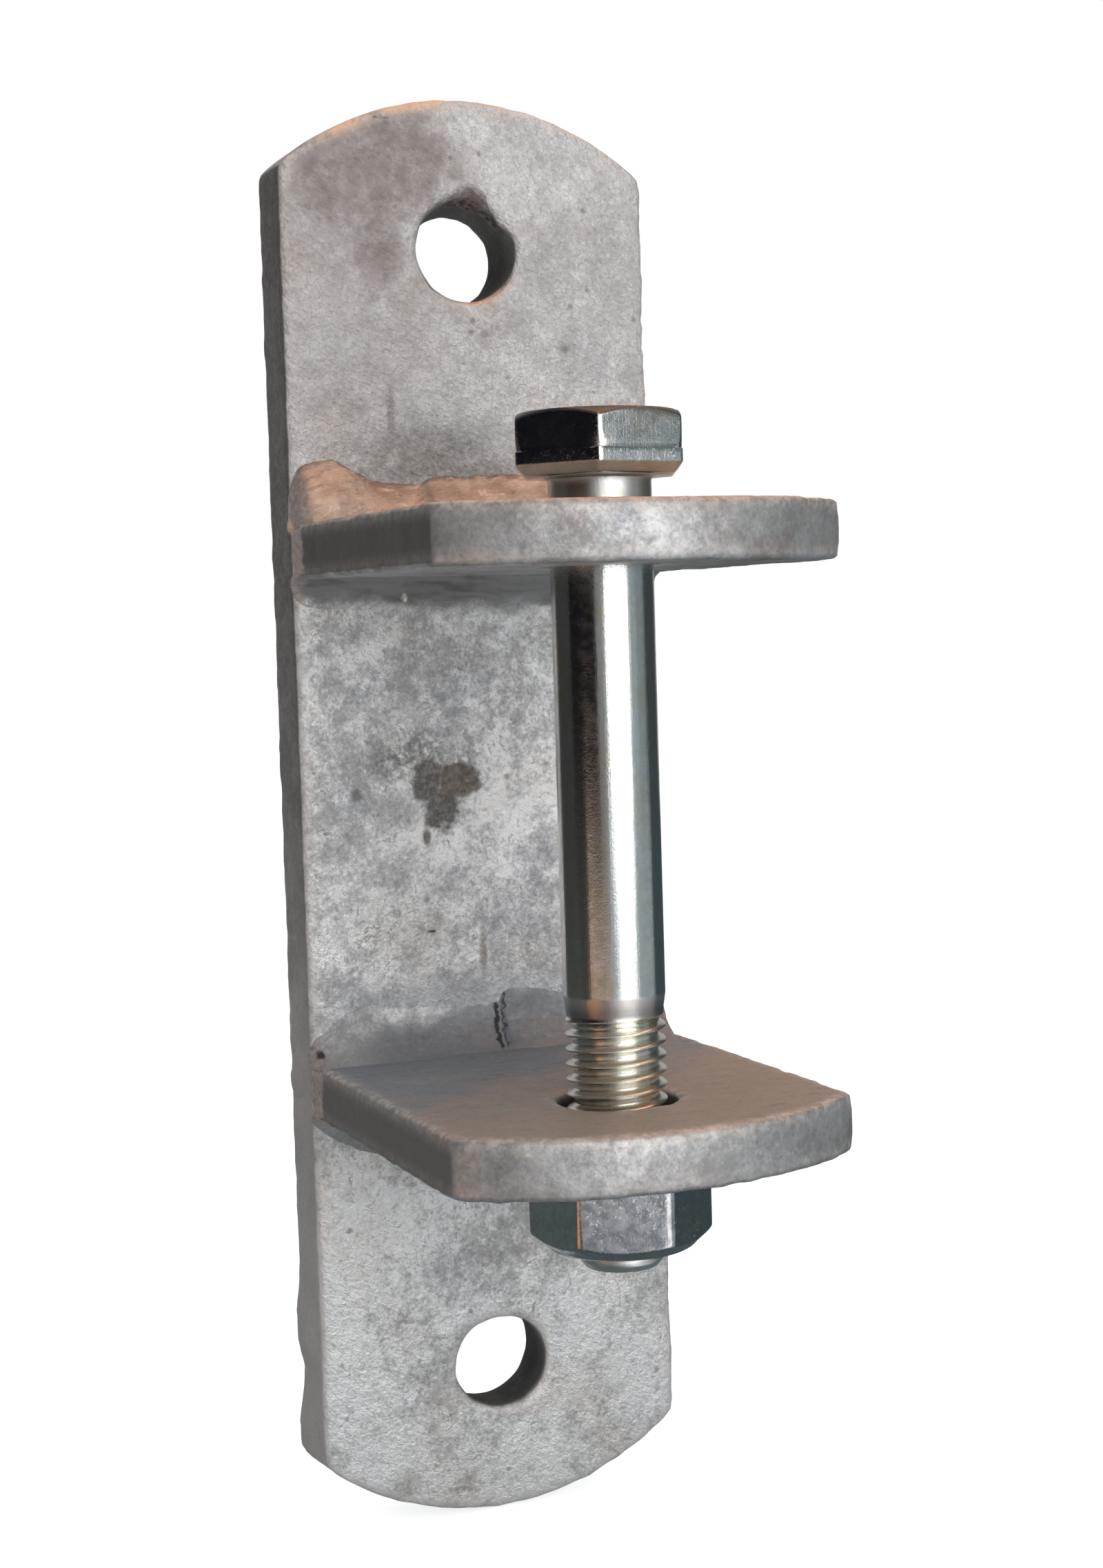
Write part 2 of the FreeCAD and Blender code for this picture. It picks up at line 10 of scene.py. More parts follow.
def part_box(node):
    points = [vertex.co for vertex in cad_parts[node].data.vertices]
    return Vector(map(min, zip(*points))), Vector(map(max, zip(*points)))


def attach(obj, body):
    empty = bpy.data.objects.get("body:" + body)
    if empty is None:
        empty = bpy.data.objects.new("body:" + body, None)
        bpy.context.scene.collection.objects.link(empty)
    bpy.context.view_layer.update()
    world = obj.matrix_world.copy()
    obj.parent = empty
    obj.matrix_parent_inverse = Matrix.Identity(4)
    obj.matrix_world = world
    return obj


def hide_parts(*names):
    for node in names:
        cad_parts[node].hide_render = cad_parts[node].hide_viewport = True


bl_info = {
    "name": "Pipe wall bracket",
    "version": (1, 0, 0),
    "blender": (4, 5, 0),
    "location": "3D View > Sidebar > Bracket",
    "description": "Builds the finished look of a galvanised pipe wall bracket round its frame",
    "category": "Add Mesh",
}

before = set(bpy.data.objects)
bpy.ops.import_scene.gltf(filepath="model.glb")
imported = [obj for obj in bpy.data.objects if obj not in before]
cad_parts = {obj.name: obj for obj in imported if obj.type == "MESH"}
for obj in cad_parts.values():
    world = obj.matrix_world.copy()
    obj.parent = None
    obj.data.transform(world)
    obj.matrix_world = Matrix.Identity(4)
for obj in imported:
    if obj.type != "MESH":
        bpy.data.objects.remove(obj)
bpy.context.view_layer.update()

MM = 0.001
PLATE_LOW, PLATE_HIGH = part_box("back_plate")
UPPER_LOW, UPPER_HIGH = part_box("upper_lug")
LOWER_LOW, LOWER_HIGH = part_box("lower_lug")
BOLT_LOW, BOLT_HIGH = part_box("hex_bolt")
NUT_LOW, NUT_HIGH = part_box("hex_nut")
BOLT_AXIS = Vector(((BOLT_LOW.x + BOLT_HIGH.x) / 2, (BOLT_LOW.y + BOLT_HIGH.y) / 2, 0))
HEAD_HEIGHT = 7.44 * MM


# Sizes and finishes that a user would change

def length(name, description, default):
    return bpy.props.FloatProperty(name=name, description=description, default=default,
                                   min=0.0, unit="LENGTH", subtype="DISTANCE", precision=5)


def share(name, description, default):
    return bpy.props.FloatProperty(name=name, description=description, default=default,
                                   min=0.0, max=1.0, subtype="FACTOR")


def turn(name, description, degrees):
    return bpy.props.FloatProperty(name=name, description=description, default=math.radians(degrees),
                                   unit="ROTATION", subtype="ANGLE")


def tone(name, description, default):
    return bpy.props.FloatVectorProperty(name=name, description=description, default=default,
                                         size=3, min=0.0, max=1.0, subtype="COLOR")


class BarSizes(bpy.types.PropertyGroup):
    cell: length("Mesh cell", "Spacing of points over plate and lugs", 0.75 * MM)
    end_arc: length("End arc", "Radius of the sheared ends", 38 * MM)
    hole_spacing: length("Hole spacing", "Between the two fixing holes", 147 * MM)
    upper_hole: length("Upper hole", "Radius of the upper fixing hole", 7 * MM)
    lower_hole: length("Lower hole", "Radius of the lower fixing hole", 6.25 * MM)
    bolt_hole: length("Lug hole", "Radius of the bolt's hole in a lug", 7 * MM)
    skin_lumps: length("Zinc lumps", "Height of the broad lumps in the dipped zinc", 0.09 * MM)
    edge_lumps: length("Edge lumps", "Height of the beads of zinc along edges", 0.16 * MM)
    torn_depth: length("Torn depth", "How far the torn rim reaches into the upper hole", 3 * MM)


class WeldSizes(bpy.types.PropertyGroup):
    leg_on_lug: length("Leg on lug", "Reach of a weld along its lug", 5.2 * MM)
    ripple: length("Ripple", "Height of the ripples under the zinc", 0.02 * MM)
    voxel: length("Voxel", "Cell that merges a weld's bead with its lumps", 0.27 * MM)


class BoltSizes(bpy.types.PropertyGroup):
    shank: length("Shank", "Radius of the plain shank", 6 * MM)
    neck: length("Neck", "Radius of the neck above the thread", 5.72 * MM)
    crest: length("Crest", "Radius over the thread's crests", 5.93 * MM)
    root: length("Root", "Radius at the thread's root", 5.0 * MM)
    pitch: length("Pitch", "From crest to crest", 1.75 * MM)
    thread_top: length("Thread length", "Thread, up from the bolt's end", 29.6 * MM)
    across_flats: length("Across flats", "Head and nut alike", 19 * MM)
    washer_face: length("Washer face", "Radius of the bearing face under the head", 8.5 * MM)
    trim_step: length("Trim step", "Step left round the head where its flash was trimmed", 0.07 * MM)
    corner: length("Corner", "Radius that rounds the corners of head and nut", 0.5 * MM)
    thread_turn: turn("Thread turn", "Start of the thread from +X", 184)
    head_turn: turn("Head turn", "Corner of the head from +X", 7.1)
    nut_turn: turn("Nut turn", "Corner of the nut from +X", 39.7)


class Finishes(bpy.types.PropertyGroup):
    bright_zinc: tone("Bright zinc", "Light crystals of the dipped zinc", (0.97, 0.97, 0.975))
    dull_zinc: tone("Dull zinc", "Dark crystals of the dipped zinc", (0.47, 0.47, 0.475))
    brown_film: tone("Brown film", "Dull film on the plate's upper left", (0.35, 0.305, 0.295))
    # The next two tones are painted light on the dull film: warm light on top of the lugs, and cool shade
    # round the lower weld and on the plate above it.
    lug_film_and_warm_light: tone("Lug film", "Warm dull film on top of the lugs", (0.50, 0.40, 0.335))
    weld_film_and_cool_shade: tone("Weld film", "Cool dull film round the lower lug's weld", (0.30, 0.32, 0.35))
    # Painted shade inside the holes.
    bore_shade: tone("Bore film", "Dark film inside the holes", (0.165, 0.17, 0.162))
    dark_stain: tone("Dark stain", "Blots and smears on the plate", (0.13, 0.125, 0.12))
    torn_steel: tone("Torn steel", "Torn rim of the upper hole", (0.10, 0.075, 0.065))
    plated_zinc: tone("Plated zinc", "Bolt and nut", (0.80, 0.82, 0.81))
    plating_tint: tone("Plating tint", "Straw-coloured passivation on bolt and nut", (0.78, 0.70, 0.50))
    crystal_size: length("Crystal size", "Typical patch in the dipped zinc", 2.4 * MM)


class StageSettings(bpy.types.PropertyGroup):
    floor_tone: tone("Floor", "Colour of the floor", (0.80, 0.80, 0.80))
    warm_tone: tone("Warm card", "Colour of the warm card overhead", (1.0, 0.52, 0.30))
    warm_strength: bpy.props.FloatProperty(name="Warm strength", description="Brightness of the warm card",
                                           default=2.0, min=0.0)
    key_watts: bpy.props.FloatProperty(name="Key", description="Power of the broad lamp at the front",
                                       default=4.8, min=0.0, unit="POWER")
    ambient: share("Ambient", "Brightness of the room round the object", 0.54)


# Picking and moving points

def read(items, name, width=3, kind=float):
    """One thing about every point, edge or face of a mesh: a row each, or a plain list."""
    values = np.empty(len(items) * width, kind)
    items.foreach_get(name, values)
    return values.reshape(-1, width) if width > 1 else values


def points_of(piece):
    return read(piece.data.vertices, "co")


def move_points(piece, places):
    piece.data.vertices.foreach_set("co", np.asarray(places, float).ravel())
    piece.data.update()


def swell(piece, heights):
    """Moves the points along their normals."""
    move_points(piece, points_of(piece) + read(piece.data.vertices, "normal") * heights[:, None])


def edges_of(piece):
    return read(piece.data.edges, "vertices", 2, int)


def rim_edges(piece, chosen):
    """Which edges have at most one face, and both ends among the chosen points."""
    used = np.bincount(read(piece.data.loops, "edge_index", 1, int), minlength=len(piece.data.edges))
    return (used < 2) & chosen[edges_of(piece)].all(axis=1)


def everything(items):
    return np.ones(len(items), bool)


def open_for_editing(piece, kind, wanted):
    """Selects only these vertices, edges or polygons of the piece, and starts edit mode."""
    for name in ("vertices", "edges", "polygons"):
        items = getattr(piece.data, name)
        items.foreach_set("select", np.zeros(len(items), bool))
    getattr(piece.data, kind).foreach_set("select", np.asarray(wanted, bool))
    bpy.context.tool_settings.mesh_select_mode = (kind == "vertices", kind == "edges", kind == "polygons")
    bpy.ops.object.mode_set(mode="EDIT")


def close_editing():
    bpy.ops.object.mode_set(mode="OBJECT")


def edit(piece, kind, wanted, operator, **settings):
    """Works on only these vertices, edges or polygons of the piece."""
    open_for_editing(piece, kind, wanted)
    operator(**settings)
    close_editing()


def extrude_edges(piece, chosen):
    """Extrudes these edges where they are, and tells which points are new."""
    edit(piece, "edges", chosen, bpy.ops.mesh.extrude_region_move)
    return read(piece.data.vertices, "select", 1, bool)


def leave_all():
    """Leaves edit mode and drops the selection, so that a new primitive is alone."""
    if bpy.context.object and bpy.context.object.mode != "OBJECT":
        close_editing()
    bpy.ops.object.select_all(action="DESELECT")


def take(piece):
    """Makes the piece the only one that is selected and worked on."""
    leave_all()
    piece.select_set(True)
    bpy.context.view_layer.objects.active = piece


def name_piece(name):
    piece = bpy.context.object
    piece.name = name
    piece.data.name = name
    return piece


def settle(piece):
    """Puts the piece's place, turn and scale into its mesh."""
    take(piece)
    bpy.ops.object.transform_apply(location=True, rotation=True, scale=True)


def turn_faces_outwards(piece):
    open_for_editing(piece, "polygons", everything(piece.data.polygons))
    bpy.ops.mesh.remove_doubles(threshold=1e-6)
    bpy.ops.mesh.normals_make_consistent(inside=False)
    close_editing()


def shade(piece, degrees):
    take(piece)
    bpy.ops.object.shade_smooth_by_angle(angle=math.radians(degrees))


def apply_modifier(piece, kind, **settings):
    modifier = piece.modifiers.new(kind.lower(), kind)
    for name, value in settings.items():
        setattr(modifier, name, value)
    take(piece)
    bpy.ops.object.modifier_apply(modifier=modifier.name)


def paint(piece, name, values):
    """A value at each point that the piece's material reads by name."""
    attribute = piece.data.attributes.new(name, "FLOAT", "POINT")
    attribute.data.foreach_set("value", np.asarray(values, np.float32))


def ease(values):
    values = np.clip(values, 0, 1)
    return values * values * (3 - 2 * values)


def lumps(places, grain, seed, octaves=2):
    """Smooth noise at each place, from about -1 to 1."""
    shift = Vector((seed * 17.3, seed * 7.9, seed * 3.1))
    values = np.empty(len(places))
    for index, place in enumerate(places):
        at = Vector(place) / grain + shift
        value = noise.noise(at)
        for octave in range(1, octaves):
            value += noise.noise(at * 2.1 ** octave) * 0.5 ** octave
        values[index] = value
    return values


def finish_piece(piece, material, body, slot, *nodes):
    """Dresses the piece, hangs it on the body that it rides on and hides the parts that it stands for."""
    piece.data.materials.clear()
    piece.data.materials.append(material)
    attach(piece, body)
    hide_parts(*nodes)


# Flat bar: plate and lugs

def outline_gap(places, half_width, low, high, arcs, radius):
    """How far each place is inside the bar's outline, as seen from its face."""
    x, y = places[:, 0], places[:, 1]
    gap = half_width - np.abs(x)
    for end, sign in ((high, 1), (low, -1)):
        if sign in arcs:
            reach = np.maximum(sign * (y - (end - sign * radius)), 0)
            gap = np.minimum(gap, radius - np.hypot(x, reach))
        else:
            gap = np.minimum(gap, sign * (end - y))
    return gap


def bend_ends_to_arcs(bar, low, high, arcs, radius, start_share):
    """Draws the square ends of the sheet back to their arcs."""
    places = points_of(bar)
    for end, sign in ((high, 1), (low, -1)):
        if sign not in arcs:
            continue
        start = end - sign * start_share
        along = np.clip((places[:, 1] - start) / (end - start), 0, 1)
        drop = radius - np.sqrt(radius ** 2 - places[:, 0] ** 2)
        places[:, 1] -= sign * along ** 1.3 * drop
    move_points(bar, places)


def cut_window(bar, centre, reach):
    """Takes out the square of faces in which a hole comes."""
    centres = read(bar.data.polygons, "center")
    inside = (np.abs(centres[:, 0]) < reach) & (np.abs(centres[:, 1] - centre) < reach)
    edit(bar, "polygons", inside, bpy.ops.mesh.delete, type="FACE")


def draw_hole(bar, centre, reach, radius, rings):
    """Extrudes the window's edge inwards to a circle, with rings between."""
    places = points_of(bar)
    near = (np.abs(places[:, 0]) < reach * 1.2) & (np.abs(places[:, 1] - centre) < reach * 1.2)
    fresh = extrude_edges(bar, rim_edges(bar, near))
    places = points_of(bar)
    offset = places[fresh][:, :2] - (0, centre)
    span = np.abs(offset).max(axis=0)
    across, along = (offset / span).T
    side = np.abs(across) >= np.abs(along)
    angle = np.where(side, along * np.sign(across), -across * np.sign(along)) * math.pi / 4
    angle += np.where(side, np.where(across > 0, 0, math.pi), np.where(along > 0, 0.5, -0.5) * math.pi)
    places[fresh, 0] = radius * np.cos(angle)
    places[fresh, 1] = centre + radius * np.sin(angle)
    move_points(bar, places)
    edit(bar, "edges", fresh[edges_of(bar)].sum(axis=1) == 1, bpy.ops.mesh.subdivide, number_cuts=rings)


def make_bar(name, low, high, thickness, arcs, holes):
    """Flat bar lying with its face on z = 0, its ends at low and high on Y, and its holes on x = 0."""
    sizes = bpy.context.scene.bracket_bar
    half_width = PLATE_HIGH.x
    leave_all()
    bpy.ops.mesh.primitive_grid_add(x_subdivisions=2 * round(half_width / sizes.cell),
                                    y_subdivisions=round((high - low) / sizes.cell),
                                    size=1.0, location=(0, (low + high) / 2, 0))
    bar = name_piece(name)
    bar.scale = (2 * half_width, high - low, 1)
    settle(bar)
    for centre, radius, reach in holes:
        cut_window(bar, centre, reach)
    bend_ends_to_arcs(bar, low, high, arcs, sizes.end_arc, 30 * MM)
    for centre, radius, reach in holes:
        draw_hole(bar, centre, reach, radius, round((reach - radius) / sizes.cell))

    edit(bar, "polygons", everything(bar.data.polygons), bpy.ops.mesh.extrude_region_move,
         TRANSFORM_OT_translate={"value": (0, 0, -thickness)})
    heights = points_of(bar)[:, 2][edges_of(bar)]
    edit(bar, "edges", np.abs(heights[:, 0] - heights[:, 1]) > thickness / 2, bpy.ops.mesh.subdivide,
         number_cuts=round(thickness / sizes.cell))
    turn_faces_outwards(bar)

    places = points_of(bar)
    gap = outline_gap(places, half_width, low, high, arcs, sizes.end_arc)
    from_hole = np.full(len(places), 1.0)
    for centre, radius, reach in holes:
        from_hole = np.minimum(from_hole, np.abs(np.hypot(places[:, 0], places[:, 1] - centre) - radius))
    gap = np.minimum(gap, from_hole)
    from_face = np.minimum(-places[:, 2], thickness + places[:, 2])
    paint(bar, "bore", ease(1.5 - from_hole / (0.4 * MM)) * ease(from_face / (0.9 * MM)))
    for end, sign in ((high, 1), (low, -1)):
        if sign in arcs:
            drop = sizes.end_arc - math.sqrt(sizes.end_arc ** 2 - half_width ** 2)
            corner = np.hypot(half_width - np.abs(places[:, 0]), places[:, 1] - (end - sign * drop))
            edit(bar, "vertices", corner < 1.3 * sizes.cell, bpy.ops.mesh.vertices_smooth,
                 factor=0.5, repeat=3)
    edge = np.maximum(gap, 0) + from_face
    edit(bar, "vertices", edge < 2.1 * sizes.cell, bpy.ops.mesh.vertices_smooth, factor=0.5, repeat=4)
    paint(bar, "edge", ease(1 - edge / (2.2 * MM)))
    return bar


def swell_skin(piece, seed):
    """Moves the points along their normals by the lumps of a dipped zinc skin."""
    sizes = bpy.context.scene.bracket_bar
    places = points_of(piece)
    edge = read(piece.data.attributes["edge"].data, "value", 1, np.float32)
    height = sizes.skin_lumps * lumps(places, 7 * MM, seed, 3)
    height += 0.35 * sizes.skin_lumps * lumps(places, 1.9 * MM, seed + 1, 1)
    height += edge * sizes.edge_lumps * lumps(places, 2.6 * MM, seed + 2, 2)
    swell(piece, height)


def tear_rim(plate):
    """The broken-out crown and the zinc drip on the rim of the upper hole."""
    sizes = bpy.context.scene.bracket_bar
    radius, centre = sizes.upper_hole / MM, sizes.hole_spacing / 2 / MM
    bearings = (-180, 12, 20, 27, 33, 38, 46, 57, 66, 71, 79, 88, 95, 102, 110, 122, 180)
    radii = (7.0, 7.0, 6.9, 6.4, 5.9, 5.7, 5.9, 6.35, 7.0, 7.9, 8.6, 8.45, 7.9, 7.35, 7.05, 7.0, 7.0)
    places = points_of(plate) / MM
    x, z = places[:, 0], places[:, 2] - centre
    reach = np.hypot(x, z)
    bearing = np.degrees(np.arctan2(z, x))
    near = reach < radius + 6
    jag = np.zeros(len(places))
    jag[near] = lumps(places[near], 0.9, 31, 2)
    push = np.interp(bearing, bearings, radii) - 7.0
    push = push * (1 + 0.25 * jag)
    depth = places[:, 1] - PLATE_LOW.y / MM
    fall = ease(1 - (reach - radius) / 4.5)
    inwards = np.clip(1 - depth / (sizes.torn_depth / MM), 0, 1)
    drip = np.exp(-(np.maximum(depth, 0) / 1.3) ** 2)
    moved = push * fall * np.where(push > 0, inwards, drip)
    torn = near & (depth > 0.15) & (depth < 4.2) & (reach < radius + 2.2)
    torn &= (bearing > 22) & (bearing < 116)
    moved[torn] += 0.3 * jag[torn] * np.interp(bearing[torn], (22, 30, 62, 75, 116), (0.4, 1, 1, 0.5, 0.3))
    scale = (reach + moved) / np.maximum(reach, 0.01)
    places[:, 0] = x * scale
    places[:, 2] = z * scale + centre
    move_points(plate, places * MM)
    sides = ease((bearing - 28) / 7) * ease((118 - bearing) / 8)
    layer = ease((depth - 0.02) / 0.2) * ease((4.4 + jag - depth) / 0.6)
    paint(plate, "torn", sides * layer * (reach < radius + 2.4))


def shape_bore(plate, centre, radius, front, back):
    """Shifts and widens a fixing hole's bore from front to back.

    Each end gives, in millimetres, how far it goes across and up and how much wider and taller it gets."""
    places = points_of(plate)
    x, z = places[:, 0], places[:, 2] - centre
    reach = np.hypot(x, z)
    share_of_back = np.clip((places[:, 1] - PLATE_LOW.y) / (PLATE_HIGH.y - PLATE_LOW.y), 0, 1)[:, None]
    change = (np.array(front) * (1 - share_of_back) + np.array(back) * share_of_back) * MM
    near = ease(1 - (reach - radius) / (4.5 * MM))
    wider, taller = change[:, 2:].T / np.maximum(reach, 0.1 * MM)
    places[:, 0] += near * (change[:, 0] + wider * x)
    places[:, 2] += near * (change[:, 1] + taller * z)
    move_points(plate, places)


def run_zinc_down_edge(plate):
    """Zinc runs on the plate's back edges, low on the left and high on the right, and its front notch."""
    places = points_of(plate) / MM
    heights = (-90, -86, -83.7, -80, -76.3, -72.6, -68.7, -65, -61, -54, 90)
    bulges = (0.0, 0.25, 0.5, 0.75, 0.05, -0.3, 0.55, 0.6, 0.0, 0.0, 0.0)
    bulge = np.interp(places[:, 2], heights, bulges)
    near = ease(1 - (places[:, 0] - PLATE_LOW.x / MM) / 3) * ease((places[:, 1] + 8.5) / 4)
    places[:, 0] -= bulge * near
    bulge = np.interp(-places[:, 2], heights, bulges) * 0.4
    near = ease(1 - (PLATE_HIGH.x / MM - places[:, 0]) / 3) * ease((places[:, 1] + 8.5) / 4)
    places[:, 0] += bulge * near
    notch = np.interp(places[:, 2], (60.8, 61.8, 62.4, 64.6, 65.2, 66.0), (0, 0.3, 0.08, 0.08, 0.3, 0))
    near = ease(1 - (PLATE_HIGH.x / MM - places[:, 0]) / 1.5) * ease(1 - (places[:, 1] + 10) / 2.5)
    places[:, 0] -= notch * near
    move_points(plate, places * MM)


class BRACKET_OT_back_plate(bpy.types.Operator):
    """Back plate with arc ends, two fixing holes, the torn rim and the zinc's lumps"""
    bl_idname = "bracket.back_plate"
    bl_label = "Back plate"
    bl_options = {"REGISTER", "UNDO"}

    def execute(self, context):
        sizes = context.scene.bracket_bar
        half_spacing = sizes.hole_spacing / 2
        plate = make_bar("dipped_back_plate", PLATE_LOW.z, PLATE_HIGH.z, PLATE_HIGH.y - PLATE_LOW.y,
                         (1, -1), ((half_spacing, sizes.upper_hole, 11 * MM),
                                   (-half_spacing, sizes.lower_hole, 10 * MM)))
        plate.rotation_euler = (math.pi / 2, 0, 0)
        plate.location = (0, PLATE_LOW.y, 0)
        settle(plate)
        swell_skin(plate, 1)
        run_zinc_down_edge(plate)
        tear_rim(plate)
        shape_bore(plate, half_spacing, sizes.upper_hole,
                   (-0.08, 0.3, -0.2, -0.3), (0.35, -0.2, -1.1, -1.15))
        shape_bore(plate, -half_spacing, sizes.lower_hole, (-0.12, 0.2, 0, -0.3), (0.1, 0.12, 0.6, 0.6))
        shade(plate, 85)
        finish_piece(plate, dipped_plate_finish(), "bracket", "galvanised", "back_plate")
        return {"FINISHED"}


class BRACKET_OT_lugs(bpy.types.Operator):
    """The two lugs, with arc front ends and the bolt's holes"""
    bl_idname = "bracket.lugs"
    bl_label = "Lugs"
    bl_options = {"REGISTER", "UNDO"}

    def execute(self, context):
        sizes = context.scene.bracket_bar
        finish = dipped_lug_finish()
        for node, low, high, seed in (("upper_lug", UPPER_LOW, UPPER_HIGH, 11),
                                      ("lower_lug", LOWER_LOW, LOWER_HIGH, 21)):
            lug = make_bar(f"dipped_{node}", low.y, high.y, high.z - low.z,
                           (-1,), ((BOLT_AXIS.y, sizes.bolt_hole, 10 * MM),))
            lug.location = (0, 0, high.z)
            settle(lug)
            swell_skin(lug, seed)
            shade(lug, 85)
            finish_piece(lug, finish, "bracket", "galvanised", node)
        return {"FINISHED"}


# Welds

# By node: which way the weld faces, how hollow it is and how long its leg on the plate is along X, the lumps
# at its ends (place, then reach), and where two runs lap. All in millimetres.
WELDS = {
    "upper_lug_top_weld": {
        "sign": 1, "hollow": ((-25, -0.9), (-18, -0.8), (-14, -0.1), (-8, 0.1), (-6.6, -0.35), (25, -0.2)),
        "legs": ((-25, 7.6), (-23.3, 8), (-22.4, 8.35), (-20.5, 8.6), (-19, 8.5), (-16.7, 7.2), (-14.5, 6.2),
                 (-11.2, 5.5), (-7.3, 5.4), (-6.5, 6.2), (5, 6.7), (14, 6.1), (20, 6.8), (25, 6)),
    },
    "upper_lug_under_weld": {
        "sign": -1, "hollow": ((-25, 1.2), (25, 1.3)),
        "legs": ((-25, 3.7), (-18, 4.9), (-13.5, 5.6), (-5.3, 6.7), (0.4, 7), (9.8, 6.7), (18, 6.2),
                 (25, 5.4)),
        "lumps": ((-10.7, -11.7, 28.7, 0.4, 0.45, 0.4),),
    },
    "lower_lug_top_weld": {
        "sign": 1,
        "hollow": ((-25, 0.3), (-22, 0.3), (-19.5, 0.2), (-16, 1), (-13, 0.7), (-10, 1.3), (25, 1.4)),
        "legs": ((-25, 3.4), (-23, 4.2), (-20, 6.6), (-16.4, 7.9), (-14.6, 7.2), (-10.8, 6.8),
                 (-5.1, 6.6), (0.3, 7.0), (1.2, 8.0), (3.1, 8.2), (10, 7.2), (18, 6.6), (25, 6.2)),
        "lumps": ((-24.75, -3.2, -33.8, 0.75, 3.0, 2.4),),
        "lap": 1.0,
    },
    "lower_lug_under_weld": {
        "sign": -1, "hollow": ((-25, 1.0), (25, 1.2)),
        "legs": ((-25, 2.0), (-23.9, 2.6), (-20.9, 4.6), (-17.3, 6.6), (-13.2, 7.6), (-4, 7.2), (6, 6.4),
                 (16, 6.8), (25, 5.6)),
    },
}


def roll_bead(name, root_height, details):
    """A bar across the lug whose section is drawn to a hollow fillet of changing size."""
    sizes = bpy.context.scene.bracket_weld
    # Of the points around, the first ones are the front. The rest lie behind it, buried in lug and plate.
    around, front, foot, buried, sign = 32, 22, 0.62, -0.7, details["sign"]
    leave_all()
    bpy.ops.mesh.primitive_cylinder_add(vertices=around, radius=2 * MM, depth=50.7 * MM,
                                        rotation=(0, math.pi / 2, 0))
    bead = name_piece(name)
    settle(bead)
    across = points_of(bead)[:, 0][edges_of(bead)]
    edit(bead, "edges", np.abs(across[:, 0] - across[:, 1]) > 10 * MM, bpy.ops.mesh.subdivide,
         number_cuts=99)

    places = points_of(bead) / MM
    x = places[:, 0]
    turn = np.round((np.arctan2(places[:, 2], places[:, 1]) / (2 * math.pi)) % 1.0 * around) % around
    legs_x, legs = zip(*details["legs"])
    wander = lumps(np.column_stack((x, x * 0, x * 0)), 3.1, sign + root_height * 1000, 2)
    on_plate = np.interp(x, legs_x, legs) + 0.25 * wander
    on_lug = sizes.leg_on_lug / MM + 0.5 * lumps(np.column_stack((x, x * 0 + 5, x * 0)), 4.2, 3, 2)
    along = np.clip(turn / front, 0, 1)
    out = along * on_lug
    up = (1 - along) * on_plate
    sink = np.interp(x, *zip(*details["hollow"])) * 4 * along * (1 - along)
    chord = np.hypot(on_lug, on_plate)
    ripple = np.sin((x + 1.6 * (along - 0.5) ** 2) * 2 * math.pi / 1.35 + 1.3 * wander)
    rise = sizes.ripple / MM * ripple * np.sin(math.pi * along)
    if "lap" in details:
        wavy = 0.35 * lumps(np.column_stack((along * 9, along * 0, along * 0)), 1.4, 8, 2)
        step = x - details["lap"] - wavy
        rise += 0.30 * ease(step / 0.4) * ease((14 - step) / 9) * np.sin(math.pi * along) ** 0.6
        rise -= 0.30 * np.exp(-(step / 0.3) ** 2) * np.sin(math.pi * along) ** 0.5
    sink = sink - rise
    out -= sink * on_plate / chord
    up -= sink * on_lug / chord
    back = turn > front
    behind = np.clip((turn - front) / (around - front), 0, 1)
    out = np.where(back, on_lug * (1 - behind * 1.5), out)
    up = np.where(back, buried, up)
    upright = back & (behind > foot)
    out = np.where(upright, buried, out)
    up = np.where(upright, on_plate * (behind - foot) / (1 - foot), up)
    taper = np.sqrt(1 - 0.84 * np.clip((np.abs(x) - 22.8) / 2.55, 0, 1) ** 2.4)
    sunk = 0.16
    places[:, 1] = PLATE_LOW.y / MM + sunk - out * taper
    places[:, 2] = root_height / MM + sign * (up * taper - sunk)
    move_points(bead, places * MM)
    turn_faces_outwards(bead)
    return bead


def add_lump(name, x, y, z, across, deep, tall):
    leave_all()
    bpy.ops.mesh.primitive_uv_sphere_add(segments=24, ring_count=14, radius=MM,
                                         location=(x * MM, y * MM, z * MM))
    lump = name_piece(name)
    lump.scale = (across, deep, tall)
    settle(lump)
    return lump


class BRACKET_OT_welds(bpy.types.Operator):
    """The four fillet welds at the lugs' roots, each merged with the lumps at its ends"""
    bl_idname = "bracket.welds"
    bl_label = "Welds"
    bl_options = {"REGISTER", "UNDO"}

    def execute(self, context):
        sizes = context.scene.bracket_weld
        finish = dipped_weld_finish()
        for index, (node, details) in enumerate(WELDS.items()):
            low, high = (UPPER_LOW, UPPER_HIGH) if "upper_lug" in node else (LOWER_LOW, LOWER_HIGH)
            root_height = high.z if details["sign"] > 0 else low.z
            bead = roll_bead(f"dipped_{node}", root_height, details)
            extra = [add_lump(f"lump_{k}", *numbers) for k, numbers in enumerate(details.get("lumps", ()))]
            take(bead)
            for lump in extra:
                lump.select_set(True)
            bpy.ops.object.join()
            apply_modifier(bead, "REMESH", mode="VOXEL", voxel_size=sizes.voxel, adaptivity=0.0)
            apply_modifier(bead, "SMOOTH", factor=0.5, iterations=5)
            places = points_of(bead)
            height = 0.12 * MM * lumps(places, 3.2 * MM, 41 + index, 2)
            swell(bead, height + 0.05 * MM * lumps(places, 1.0 * MM, 51, 1))
            shade(bead, 70)
            finish_piece(bead, finish, "bracket", "galvanised_weld", node)
        return {"FINISHED"}


# Bolt and nut

